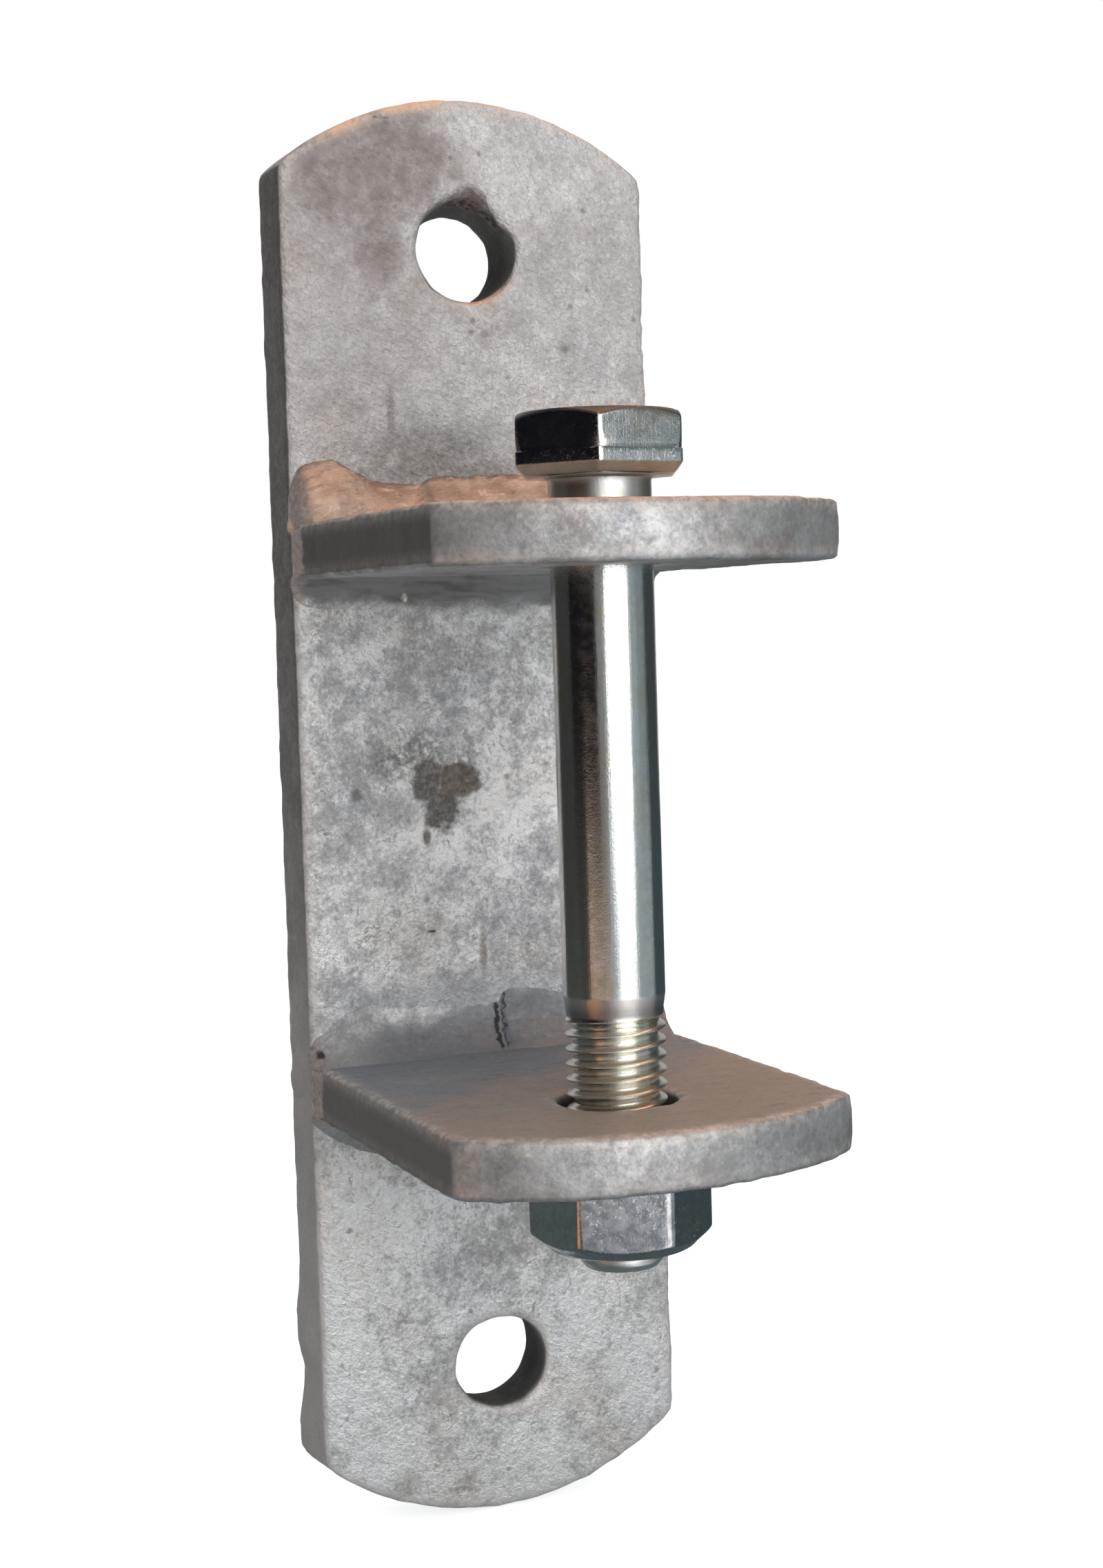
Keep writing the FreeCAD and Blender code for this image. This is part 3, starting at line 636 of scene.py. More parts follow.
# The thread's section: shares of one pitch, and how far each is from root to crest.
THREAD_PHASES = (0, 0.10, 0.17, 0.30, 0.41, 0.455, 0.545, 0.59, 0.70, 0.83, 0.90, 1)
THREAD_SHARES = (0, 0, 0.09, 0.50, 0.93, 1, 1, 0.93, 0.50, 0.09, 0, 0)


def wind_thread(name, root, crest, low, high, first):
    """A helical sheet between two heights, cut level at both ends. Its first column is at the given turn."""
    sizes = bpy.context.scene.bracket_bolt
    turns = math.ceil((high - low) / sizes.pitch) + 3
    leave_all()
    bpy.ops.mesh.primitive_circle_add(vertices=len(THREAD_PHASES), radius=sizes.shank)
    thread = name_piece(name)
    ends = edges_of(thread)
    edit(thread, "edges", np.abs(ends[:, 0] - ends[:, 1]) > 1, bpy.ops.mesh.delete, type="EDGE")
    heights = np.array(THREAD_PHASES) * sizes.pitch
    reach = root + (crest - root) * np.array(THREAD_SHARES)
    base = low - 1.5 * sizes.pitch
    base = BOLT_LOW.z + math.floor((base - BOLT_LOW.z) / sizes.pitch) * sizes.pitch
    base += sizes.pitch * (first - sizes.thread_turn) / (2 * math.pi)
    move_points(thread, np.column_stack((reach * math.cos(first), reach * math.sin(first), base + heights)))
    apply_modifier(thread, "SCREW", angle=2 * math.pi, steps=72, render_steps=72, iterations=turns,
                   screw_offset=sizes.pitch, axis="Z", use_merge_vertices=False, use_smooth_shade=True)
    open_for_editing(thread, "polygons", everything(thread.data.polygons))
    bpy.ops.mesh.remove_doubles(threshold=2e-6)
    for height, side in ((low, "clear_inner"), (high, "clear_outer")):
        bpy.ops.mesh.select_all(action="SELECT")
        bpy.ops.mesh.bisect(plane_co=(0, 0, height), plane_no=(0, 0, 1), threshold=1e-7, **{side: True})
    close_editing()
    return thread


def set_reach(piece, reach):
    """Moves the points to these radii about the piece's own upright axis."""
    places = points_of(piece)
    places[:, :2] *= (reach / np.hypot(places[:, 0], places[:, 1]))[:, None]
    move_points(piece, places)


def open_rim(piece, height):
    """Which points lie on the open edge at this height."""
    places = points_of(piece)
    rim = np.zeros(len(places), bool)
    rim[edges_of(piece)[rim_edges(piece, everything(places))].ravel()] = True
    return rim & (np.abs(places[:, 2] - height) < 0.02 * MM)


def from_corner(bearing, turn):
    """Angle from the hexagon's nearest corner."""
    return (bearing - turn + math.pi / 6) % (math.pi / 3) - math.pi / 6


def corner_bearing(bearing, turn, rounded):
    """Draws the points of an even ring towards the hexagon's corners, which are rounded over this angle."""
    off = np.degrees(from_corner(bearing, turn))
    steps = (0, 0.3 * rounded, 0.65 * rounded, 1.03 * rounded, 8, 18, 30)
    drawn = np.sign(off) * np.interp(np.abs(off), (0, 5, 10, 15, 20, 25, 30), steps)
    return bearing + np.radians(drawn - off)


def hexagon_reach(off, across_flats, corner):
    """Radius of a hexagon with rounded corners, at an angle from its corner."""
    flat = across_flats / 2 / np.cos(math.pi / 6 - np.abs(off))
    middle = (across_flats / 2 - corner) / math.cos(math.pi / 6)
    tangent = math.atan2(corner / 2, middle + corner * math.cos(math.pi / 6))
    arc = middle * np.cos(off) + np.sqrt(np.maximum(corner ** 2 - (middle * np.sin(off)) ** 2, 0))
    return np.where(np.abs(off) < tangent, arc, flat)


def raise_ring(piece, rim, heights, reach, bearing):
    """Extrudes the picked rim to a new ring, given each point's height, radius and bearing."""
    fresh = extrude_edges(piece, rim_edges(piece, rim))
    places = points_of(piece)
    angle = np.arctan2(places[fresh, 1], places[fresh, 0])
    turned = bearing(angle)
    places[fresh, 0] = reach(turned) * np.cos(turned)
    places[fresh, 1] = reach(turned) * np.sin(turned)
    places[fresh, 2] = heights(turned)
    move_points(piece, places)
    return fresh


def round_rings(piece, rim, level, radius, *rows):
    """A run of round rings. Each row gives millimetres above the level, and millimetres past the radius."""
    for rise, wider in rows:
        rim = raise_ring(piece, rim, lambda angle: angle * 0 + (level + rise * MM),
                         lambda angle: angle * 0 + (radius + wider * MM), lambda angle: angle)
    return rim


def hexagon_rings(piece, rim, turn, rows, across_flats, rounded):
    """A run of hexagonal rings. Each row gives a height or a function of angle and radius, an inset, and
    a corner's radius where it isn't the usual one."""
    for number, (height, inset, *corner) in enumerate(rows):
        rounding = corner[0] if corner else bpy.context.scene.bracket_bolt.corner

        def reach(angle):
            return hexagon_reach(from_corner(angle, turn), across_flats - 2 * inset, rounding)

        def level(angle):
            return height(angle, reach(angle)) if callable(height) else angle * 0 + height

        def drawn(angle):
            return corner_bearing(angle, turn, rounded) if number == 0 else angle

        rim = raise_ring(piece, rim, level, reach, drawn)
    return rim


def close_rim(piece, rim):
    edit(piece, "edges", rim_edges(piece, rim), bpy.ops.mesh.edge_face_add)


class BRACKET_OT_bolt(bpy.types.Operator):
    """Hex bolt in one skin: wound thread, neck, shank, washer face and chamfered head"""
    bl_idname = "bracket.bolt"
    bl_label = "Hex bolt"
    bl_options = {"REGISTER", "UNDO"}

    def execute(self, context):
        sizes = context.scene.bracket_bolt
        low, top = BOLT_LOW.z - 0.4 * MM, BOLT_LOW.z + sizes.thread_top
        bolt = wind_thread("plated_hex_bolt", sizes.root, sizes.crest, low, top, sizes.thread_turn)
        places = points_of(bolt)
        reach = np.hypot(places[:, 0], places[:, 1])
        fade = ease((places[:, 2] - (top - 1.5 * MM)) / (1.5 * MM))
        reach = reach * (1 - fade) + sizes.neck * fade
        from_end = (places[:, 2] - low) / MM
        bevel = np.interp(from_end, (0, 0.7, 0.95, 2, 3.2), (4.35, 4.95, 5.05, 5.1, 7)) * MM
        set_reach(bolt, np.minimum(reach, bevel))

        close_rim(bolt, round_rings(bolt, open_rim(bolt, low), low, 0, (0, 4.2), (0.06, 3.4), (0.08, 1.2)))

        seat = BOLT_HIGH.z - HEAD_HEIGHT
        rim = round_rings(bolt, open_rim(bolt, top), top, sizes.neck,
                          (0.15, 0), (0.35, 0.03), (0.5, 0.035), (0.62, 0.05), (1.2, 0.15))
        rim = round_rings(bolt, rim, top, sizes.shank,
                          (1.9, -0.025), (2.02, -0.002), (2.15, 0), (2.4, 0), (2.9, 0), (4, 0), (22, 0),
                          (42, 0))
        rim = round_rings(bolt, rim, seat, sizes.shank,
                          (-2, 0), (-1.1, 0), (-0.6, 0), (-0.25, 0.07), (-0.08, 0.24), (0, 0.5))
        rim = round_rings(bolt, rim, seat, sizes.washer_face, (0, -0.25), (0.05, -0.1))
        crown = 0.95 * sizes.across_flats / 2
        slope = math.tan(math.radians(30))
        trim = seat + 2.75 * MM

        def under_chamfer(drop):
            return lambda angle, reach: BOLT_HIGH.z - (reach - crown) * slope - drop

        def above_trim(rise):
            """A ragged level, this far above the line where the head was trimmed."""
            return lambda angle, reach: trim + 0.11 * MM * lumps(
                np.column_stack((np.cos(angle), np.sin(angle), angle * 0)), 0.13, 61, 2) + rise

        step = sizes.trim_step
        rim = hexagon_rings(bolt, rim, sizes.head_turn,
                            ((seat + 0.12 * MM, 0.95 * MM), (seat + 0.2 * MM, 0.85 * MM),
                             (seat + 0.65 * MM, 0.5 * MM), (seat + 1.1 * MM, 0.1 * MM),
                             (seat + 1.25 * MM, 0.02 * MM), (seat + 1.45 * MM, 0.0, 0.6 * MM),
                             (trim - 0.45 * MM, 0.0, 0.7 * MM),
                             (above_trim(-0.16 * MM), -0.01 * MM, 0.5 * MM),
                             (above_trim(0), 0.02 * MM, 0.5 * MM), (above_trim(0.12 * MM), step, 1.7 * MM),
                             (above_trim(0.5 * MM), step * 0.8, 1.6 * MM),
                             (trim + 1.1 * MM, step * 0.75, 1.0 * MM),
                             (trim + 2.0 * MM, step * 0.7, 0.6 * MM), (under_chamfer(0.45 * MM), step * 0.7),
                             (under_chamfer(0.16 * MM), step * 0.8), (under_chamfer(0.02 * MM), 0.14 * MM),
                             (under_chamfer(-0.07 * MM), 0.32 * MM)), sizes.across_flats, 3.2)
        rim = round_rings(bolt, rim, BOLT_HIGH.z, crown, (-0.03, 0), (0, -0.12), (0, -1.2), (-0.16, -1.7))
        close_rim(bolt, round_rings(bolt, rim, BOLT_HIGH.z, 0, (-0.2, 3)))
        move_points(bolt, points_of(bolt) + np.array(BOLT_AXIS))
        turn_faces_outwards(bolt)
        shade(bolt, 32)
        finish_piece(bolt, plated_finish("bright_plated_bolt", 0.12), "bolt", "zinc_plated", "hex_bolt")
        return {"FINISHED"}


class BRACKET_OT_nut(bpy.types.Operator):
    """Hex nut with its own wound thread and chamfers at both ends"""
    bl_idname = "bracket.nut"
    bl_label = "Hex nut"
    bl_options = {"REGISTER", "UNDO"}

    def execute(self, context):
        sizes = context.scene.bracket_bolt
        clear = 0.06 * MM
        low, high = NUT_LOW.z - 0.35 * MM, NUT_HIGH.z
        nut = wind_thread("plated_hex_nut", sizes.root + clear + 0.12 * MM, sizes.crest + clear, low, high,
                          sizes.nut_turn)
        places = points_of(nut)
        lead = sizes.crest + 0.5 * MM
        inside = np.minimum(places[:, 2] - low, high - places[:, 2])
        reach = np.maximum(np.hypot(places[:, 0], places[:, 1]), lead - inside * 0.9)
        set_reach(nut, reach)
        crown = 0.95 * sizes.across_flats / 2
        rim = round_rings(nut, open_rim(nut, low), low, lead, (0, 0.15))
        rim = round_rings(nut, rim, low, crown,
                          (0, -0.9), (0.04, -0.6), (0.25, -0.25), (0.55, 0.05), (0.75, 0.22))

        def from_low(rise):
            return lambda angle, reach: low + 1.1 * MM + (reach - sizes.across_flats / 2) * 0.48 + rise

        def from_high(drop):
            return lambda angle, reach: high - 0.4 * MM - (reach - sizes.across_flats / 2) * 0.48 - drop

        worn = 1.2 * MM
        rim = hexagon_rings(nut, rim, sizes.nut_turn,
                            ((from_low(-0.12 * MM), 0.16 * MM, worn), (from_low(0.0), 0.06 * MM, worn),
                             (from_low(0.12 * MM), 0.02 * MM, worn), (from_low(0.35 * MM), 0.0, worn),
                             ((low + high) / 2, 0.0, worn), (from_high(0.35 * MM), 0.0, worn),
                             (from_high(0.12 * MM), 0.02 * MM, worn), (from_high(0.0), 0.06 * MM, worn),
                             (from_high(-0.12 * MM), 0.2 * MM, worn)), sizes.across_flats, 3.3)
        rim = round_rings(nut, rim, high, crown, (-0.04, 0), (0, -0.12))
        round_rings(nut, rim, high, lead, (0, 0.2))
        level = np.abs(points_of(nut)[:, 2] - high) < 0.02 * MM
        edit(nut, "edges", rim_edges(nut, level), bpy.ops.mesh.bridge_edge_loops)
        move_points(nut, points_of(nut) + np.array(BOLT_AXIS))
        turn_faces_outwards(nut)
        shade(nut, 32)
        finish_piece(nut, plated_finish("bright_plated_nut", 1.0), "bolt", "zinc_plated", "hex_nut")
        return {"FINISHED"}


# Nodes

class Field:
    """A value, place or colour that changes over a surface. What is worked out from it becomes nodes."""

    def __init__(self, tree, socket):
        self.tree, self.socket = tree, socket

    def reckon(self, operation, *numbers, clamp=False):
        return add_node(self.tree, "ShaderNodeMath", dict(enumerate(numbers)), operation=operation,
                        use_clamp=clamp)

    def __add__(self, other):
        return self.reckon("ADD", self, other)

    def __sub__(self, other):
        return self.reckon("SUBTRACT", self, other)

    def __rsub__(self, other):
        return self.reckon("SUBTRACT", other, self)

    def __mul__(self, other):
        return self.reckon("MULTIPLY", self, other)

    def __rtruediv__(self, other):
        return self.reckon("DIVIDE", other, self)

    def __abs__(self):
        return self.reckon("ABSOLUTE", self)

    def held(self):
        """The same value, kept from 0 to 1."""
        return self.reckon("ADD", self, 0, clamp=True)

    def vector(self, operation, *others, **settings):
        feeds = {**dict(enumerate((self, *others))), **settings}
        return add_node(self.tree, "ShaderNodeVectorMath", feeds, operation=operation)

    def reach(self):
        """How far this place is from the middle."""
        return self.vector("LENGTH").beside()["Value"]

    def axes(self):
        return add_node(self.tree, "ShaderNodeSeparateXYZ", {0: self}).beside()

    def facing(self):
        """Which way the surface faces, by axis."""
        return add_node(self.tree, "ShaderNodeNewGeometry", output="Normal").axes()

    def painted(self, name):
        """The value painted on the mesh's points under this name."""
        return add_node(self.tree, "ShaderNodeAttribute", output="Fac", attribute_name=name)

    def beside(self):
        """All outputs of this field's node, by name."""
        return {socket.name: Field(self.tree, socket) for socket in self.socket.node.outputs}

    def spread(self, low, high, to_low=0, to_high=1):
        """Spreads a value's range smoothly over another."""
        return add_node(self.tree, "ShaderNodeMapRange",
                        {"Value": self, "From Min": low, "From Max": high, "To Min": to_low,
                         "To Max": to_high}, interpolation_type="SMOOTHSTEP")

    def between(self, first, second, mode="MIX"):
        """A colour between two, with this value as the share of the second."""
        return add_node(self.tree, "ShaderNodeMix", {0: self, 6: first, 7: second}, 2, data_type="RGBA",
                        blend_type=mode)

    def cloud(self, size, detail=3, rough=0.55, distortion=0, stretch=None, turn=0):
        """Soft noise in patches about this many millimetres across. The turn is about Y, in degrees."""
        place = self
        if stretch:
            place = add_node(self.tree, "ShaderNodeMapping",
                             {"Vector": self, "Rotation": (0, math.radians(turn), 0),
                              "Scale": tuple(1 / part for part in stretch)}, vector_type="TEXTURE")
        return add_node(self.tree, "ShaderNodeTexNoise",
                        {"Vector": place, "Scale": 1 / size, "Detail": detail, "Roughness": rough,
                         "Distortion": distortion}, "Fac")

    def through(self, name, **feeds):
        """Puts this place through a shared node group, and gives the group's outputs by name."""
        return add_node(self.tree, "ShaderNodeGroup", {"Vector": self, **feeds},
                        node_tree=node_group(name)).beside()

    def stain(self, centre, reach, ragged=0.5, softness=0.25):
        spot = {"Centre": centre, "Reach": reach, "Ragged": ragged, "Softness": softness}
        return self.through("stain_shape", **spot)["Mask"]


def feed(node, name, value):
    """Links a field to a node's input, or sets the input to a plain value."""
    socket = node.inputs[name]
    if isinstance(value, Field):
        value.tree.links.new(value.socket, socket)
    elif socket.type == "RGBA":
        socket.default_value = (*value[:3], 1)
    else:
        socket.default_value = value


def add_node(tree, kind, feeds=None, output=0, **settings):
    """A node with its settings and what feeds it. One of its outputs comes back as a field."""
    node = tree.nodes.new(kind)
    for name, value in settings.items():
        setattr(node, name, value)
    for name, value in (feeds or {}).items():
        feed(node, name, value)
    return Field(tree, node.outputs[output]) if node.outputs else None


def most(*masks):
    total = masks[0]
    for mask in masks[1:]:
        total = total.reckon("MAXIMUM", total, mask)
    return total


def times(tone, factor):
    return tuple(part * factor for part in tone)


# Shared node groups, in millimetres

def zinc_crystals(given):
    """Crystals, flecks, pits, cracks and fine relief of dipped zinc."""
    scaled = given["Vector"].vector("SCALE", Scale=1 / given["Size"])
    broad = given["Vector"].cloud(16, 4, 0.6, 0.3)
    patches = scaled.cloud(1.3, 8, 0.64, 0.1)
    fine = scaled.cloud(0.17, 4, 0.7)
    flakes = scaled.cloud(1.1, 5, 0.6, 1.1)
    curds = scaled.cloud(0.5, 5, 0.66, 0.4)
    crystals = patches.spread(0.28, 0.72) * 0.32 + broad.spread(0.3, 0.7) * 0.34
    crystals = crystals + flakes.spread(0.48, 0.62) * 0.08 + (fine - 0.5) * 0.7
    crystals = crystals.spread(0.05, 0.66) * 0.86 + 0.03 + (fine - 0.5) * 0.55 + (curds - 0.5) * 1.15
    crystals = crystals + curds.spread(0.58, 0.7) * patches.spread(0.46, 0.58, 0, 0.35)
    sparkle = scaled.cloud(0.13, 2, 0.5)
    dots = add_node(scaled.tree, "ShaderNodeTexVoronoi", {"Vector": scaled, "Scale": 0.62, "Randomness": 1},
                    "Distance", feature="F1")
    ridge = abs(scaled.cloud(1.7, 5, 0.6, 1) - 0.5)
    return {"Crystals": crystals,
            "Flecks": sparkle.spread(0.58, 0.7) * patches.spread(0.45, 0.62),
            "Pits": dots.spread(0.14, 0.05) * scaled.cloud(3.4, 1).spread(0.49, 0.56),
            "Cracks": ridge.spread(0.016, 0.002) * scaled.cloud(1.3).spread(0.54, 0.66),
            "Relief": patches * 0.5 + fine * 0.26 + sparkle * 0.12 + flakes * 0.1 + curds * 0.35}


def top_film_with_painted_light(given):
    """Dull film on the lugs' upper sides: painted cool shade by the weld, painted warm light and specks
    towards the front.
    """
    place = given["Vector"]
    axes = place.axes()
    forwards = (place.cloud(9, 5, 0.6) - 0.5) * 60 + axes["Y"] - axes["X"] * 0.35
    # Painted cool shade near the plate, painted warm light towards the front.
    film = forwards.spread(-20, -48).between(given["Cool"], given["Warm"])
    specks = place.cloud(0.9, 6, 0.75)
    film = specks.spread(0.52, 0.72, 0, 0.6).between(film, (0.58, 0.5, 0.44))
    film = specks.spread(0.46, 0.3, 0, 0.5).between(film, (0.16, 0.14, 0.13))
    drawn = place.cloud(1.1, 5, 0.7, 0.3, (0.3, 1, 1))
    film = drawn.spread(0.54, 0.72, 0, 0.45).between(film, (0.15, 0.145, 0.145))
    film = drawn.spread(0.42, 0.28, 0, 0.4).between(film, (0.62, 0.58, 0.55))
    return {"Colour": film}


def stain_shape(given):
    """A ragged soft-edged spot about a centre."""
    away = given["Vector"].vector("SUBTRACT", given["Centre"]).vector("DIVIDE", given["Reach"]).reach()
    wobble = add_node(away.tree, "ShaderNodeTexNoise",
                      {"Vector": given["Vector"], "Scale": 0.55, "Detail": 5, "Roughness": 0.65}, "Fac")
    away = (wobble - 0.5) * (given["Ragged"] * 2) + away
    return {"Mask": away.spread(1 - given["Softness"], given["Softness"] + 1, 1, 0)}


def plating_haze(given):
    """Straw-coloured patches, haze, grain, dents, lines, specks and scuffs of zinc plating."""
    place = given["Vector"]
    scuffed = place.cloud(2.2, 4, 0.6).spread(0.38, 0.62)
    return {"Tint": place.cloud(5, 3, 0.6).spread(0.42, 0.7),
            "Haze": place.cloud(1.3, 5, 0.68),
            "Grain": place.cloud(0.22, 3, 0.6),
            "Dents": place.cloud(1.5, 4, 0.6),
            "Lines": place.cloud(0.22, 2, 0.5, 0, (1, 1, 0.03)),
            "Specks": place.cloud(0.35, 2, 0.6).spread(0.7, 0.78),
            "Scuffs": place.cloud(0.4, 5, 0.75).spread(0.52, 0.66) * scuffed}


GROUPS = {
    "zinc_crystals": (zinc_crystals, (("Size", "Float", 2.4),)),
    "top_film_with_painted_light": (top_film_with_painted_light, (("Cool", "Color", (0.3, 0.3, 0.3, 1)), ("Warm", "Color", (0.5, 0.4, 0.3, 1)))),
    "stain_shape": (stain_shape, (("Centre", "Vector", (0, 0, 0)), ("Reach", "Vector", (1, 1, 1)),
                                  ("Ragged", "Float", 0.5), ("Softness", "Float", 0.25))),
    "plating_haze": (plating_haze, ()),
}


def node_group(name):
    """The shared group of this name, made when it is first asked for."""
    group = bpy.data.node_groups.get(name)
    if group is None:
        fill, inputs = GROUPS[name]
        group = bpy.data.node_groups.new(name, "ShaderNodeTree")
        group.interface.new_socket(name="Vector", in_out="INPUT", socket_type="NodeSocketVector")
        for label, kind, default in inputs:
            socket = group.interface.new_socket(name=label, in_out="INPUT", socket_type="NodeSocket" + kind)
            socket.default_value = default
        made = fill(add_node(group, "NodeGroupInput").beside())
        for label, value in made.items():
            kind = "NodeSocketColor" if value.socket.type == "RGBA" else "NodeSocketFloat"
            group.interface.new_socket(name=label, in_out="OUTPUT", socket_type=kind)
        end = group.nodes.new("NodeGroupOutput")
        for label, value in made.items():
            feed(end, label, value)
    return group


# Materials

def new_material(name):
    """A material, and its Object coordinates in millimetres."""
    material = bpy.data.materials.new(name)
    material.use_nodes = True
    place = add_node(material.node_tree, "ShaderNodeTexCoord", output="Object")
    return material, place.vector("SCALE", Scale=1 / MM)


def dress(material, colour, rough, metal, relief, depth):
    """Feeds a material's shader with its colour, roughness, metallic share and relief."""
    tree = material.node_tree
    bump = add_node(tree, "ShaderNodeBump", {"Height": relief, "Strength": 1, "Distance": depth})
    for name, value in (("Base Color", colour), ("Roughness", rough), ("Metallic", metal), ("Normal", bump)):
        feed(tree.nodes["Principled BSDF"], name, value)
    return material


def top_tone_with_painted_light(place, tones):
    # Top film with its painted warm light towards the front and painted cool shade by the weld.
    return place.through("top_film_with_painted_light", Cool=tones.weld_film_and_cool_shade, Warm=tones.lug_film_and_warm_light)["Colour"]


def side_shade_by_height(place, axes):
    """Painted light and shade on the plate's side: pale below and dark above."""
    height = (place.cloud(12, 4) * 60 + axes["Z"]).spread(-40, 60)
    return height.between((0.6, 0.56, 0.55), (0.14, 0.13, 0.125))


def dipped_plate_finish():
    """Dipped zinc of the plate, with its brown film, blots, smear, pits and torn rim, and painted light:
    shade on its sides and in its bores, cool shade by the lower weld, warm highlights and glints.
    """
    tones = bpy.context.scene.bracket_finishes
    material, place = new_material("dipped_zinc_plate")
    zinc = place.through("zinc_crystals", Size=tones.crystal_size / MM)
    axes, facing, edge = place.axes(), place.facing(), place.painted("edge")
    speckled = place.cloud(0.7, 5, 0.75)

    def on_face(*spots):
        """Stains on the front face. Each gives x, z, half its width and height, raggedness and softness."""
        return most(*(place.stain((x, -10, z), (wide, 3, tall), ragged, soft)
                      for x, z, wide, tall, ragged, soft in spots))

    upper = (place.cloud(16) * 50 + axes["Z"]).spread(45, 75)
    patchy = zinc["Crystals"] * axes["Z"].spread(-30, -50, 1.15, 1.35)
    patchy = patchy + axes["Z"].spread(-30, -50, 0.17, 0.18)
    pale = upper * (zinc["Crystals"] * 0.46 + 0.34) + (1 - upper) * patchy
    colour = pale.between(tones.dull_zinc, tones.bright_zinc)
    # Bright flecks: lighter spangle, partly painted glints.
    colour = (zinc["Flecks"] * 0.6).between(colour, (0.97, 0.97, 0.98))
    hue = place.cloud(13, 4, 0.6)
    colour = hue.spread(0.5, 0.72, 0, 0.5).between(colour, (0.78, 0.7, 0.65), "MULTIPLY")
    colour = hue.spread(0.48, 0.28, 0, 0.5).between(colour, (0.8, 0.84, 0.94), "MULTIPLY")
    cracks = zinc["Cracks"] * upper.spread(0, 1, 0.55, 0.15)
    colour = cracks.between(colour, (0.2, 0.17, 0.15))

    film = most(on_face((-13.5, 84.5, 12, 8.4, 0.45, 0.3), (-12, 73.5, 3.4, 6, 0.8, 0.7)),
                on_face((-17, 64, 11, 17, 0.7, 0.9)) * 0.45)
    film = film * place.cloud(2.6, 6, 0.65).spread(0.3, 0.58, 0.6, 1)
    brown = place.cloud(2.2, 5, 0.65).spread(0.3, 0.7)
    brown = brown.between(tones.brown_film, times(tones.brown_film, 1.3))
    brown = speckled.spread(0.38, 0.24, 0, 0.8).between(brown, times(tones.brown_film, 0.3))
    colour = film.between(colour, brown)

    lobe = on_face((-3.8, 4.9, 3.2, 2.3, 0.45, 0.18))
    blot = most(on_face((-7.7, 4.6, 2.2, 3.6, 0.9, 0.3), (-6, 1.6, 2.4, 3.1, 0.8, 0.24)), lobe,
                on_face((-8.2, -2.3, 0.5, 1, 0.6, 0.5)), on_face((-17.6, 3.7, 0.75, 0.85, 0.8, 0.5)) * 0.6)
    grubby = on_face((-9, 8.4, 6.5, 3, 1, 0.6)) * speckled.spread(0.6, 0.36)
    smear = on_face((-11.2, 52, 0.6, 3.6, 0.5, 0.6), (-6.5, 47.8, 8, 3.4, 0.8, 0.7),
                    (-14, -88, 2, 1.6, 0.9, 0.8), (-5, 45, 12, 1.9, 0.7, 0.6),
                    (-0.9, -17.5, 0.45, 4.2, 0.2, 0.6), (0.2, 63.2, 0.45, 0.4, 0.8, 0.6),
                    (1.9, 62.9, 0.55, 0.5, 0.8, 0.6), (13.4, 61.3, 0.8, 0.55, 0.9, 0.5))
    nick = on_face((-7.96, -14.7, 0.55, 0.16, 0.1, 0.3), (-11.4, 90.1, 1.1, 0.16, 0.2, 0.4))
    dark = most(blot * speckled.spread(0.32, 0.68, 1, 0.76), smear * speckled.spread(0.3, 0.7, 0.62, 0.25),
                zinc["Pits"] * 0.5, nick, grubby * 0.7)
    stained = most(lobe, smear).between(tones.dark_stain, (0.17, 0.135, 0.105))
    colour = dark.between(colour, stained)

    torn = place.painted("torn").spread(0.22, 0.5) * axes["Y"].spread(-9.94, -9.6)
    ragged = place.cloud(0.9, 4).spread(0.4, 0.66).between(tones.torn_steel, (0.36, 0.3, 0.27))
    ragged = axes["Y"].spread(-7.2, -8.8, 0, 0.85).between(ragged, (0.44, 0.385, 0.365))
    colour = torn.between(colour, ragged)
    # Lighter rubbed edges, partly a painted highlight.
    worn = edge * place.cloud(1.2, 5, 0.7).spread(0.42, 0.6, 0.15, 0.85)
    colour = worn.between(colour, (0.8, 0.76, 0.74))
    # Painted shade on the plate's sides: the left fully, the right in part, with lighter specks.
    side = most(facing["X"].spread(-0.75, -0.97), facing["X"].spread(0.75, 0.97, 0, 0.35))
    side_shade_tone = speckled.spread(0.4, 0.75, 0, 0.35).between(side_shade_by_height(place, axes), (0.4, 0.38, 0.37))
    colour = (side * 0.95).between(colour, side_shade_tone)
    # The bores are painted shade: darker deep in and on faces that look up, lighter towards the front.
    bore = place.painted("bore") * (0.97 - torn).held()
    lit_bore = axes["Y"].spread(-9.4, -5, 1, 0.45) * facing["Z"].spread(-0.9, 0.6, 1, 0.28)
    bore_shade_tone = lit_bore.between((0.012, 0.012, 0.012), times(tones.bore_shade, 1.9))
    colour = bore.between(colour, bore_shade_tone)
    # Painted cool shade on the plate along the top of the lower weld.
    cool = on_face((2, -23.5, 17, 2.6, 0.9, 0.8)) * 0.6
    colour = cool.between(colour, times(tones.weld_film_and_cool_shade, 1.4))

    from_hole = place.vector("ADD", (0.1, 0, -73.8)).vector("MULTIPLY", (1, 0, 1)).reach()
    hole_rim = abs(from_hole - 6.95).spread(0.55, 0.15, 0, 0.8)
    # Painted warm highlights: a spot by the upper lug's weld end, the plate's top arc edges and the lower
    # rim of the upper hole.
    warm = most(place.stain((-25, -9.6, 38.3), (1.2, 1.1, 0.8), 0.7, 0.5),
                place.stain((-17.5, -9.9, 88.9), (5, 1, 2.2), 1.2, 0.5) * edge,
                place.stain((-8.5, -9.9, 92), (6, 1, 1.3), 1.2, 0.5) * edge,
                place.stain((2.5, -9.8, 67.4), (3.5, 1.3, 2.4), 0.5, 0.5) * hole_rim)
    colour = warm.between(colour, (0.98, 0.7, 0.52))

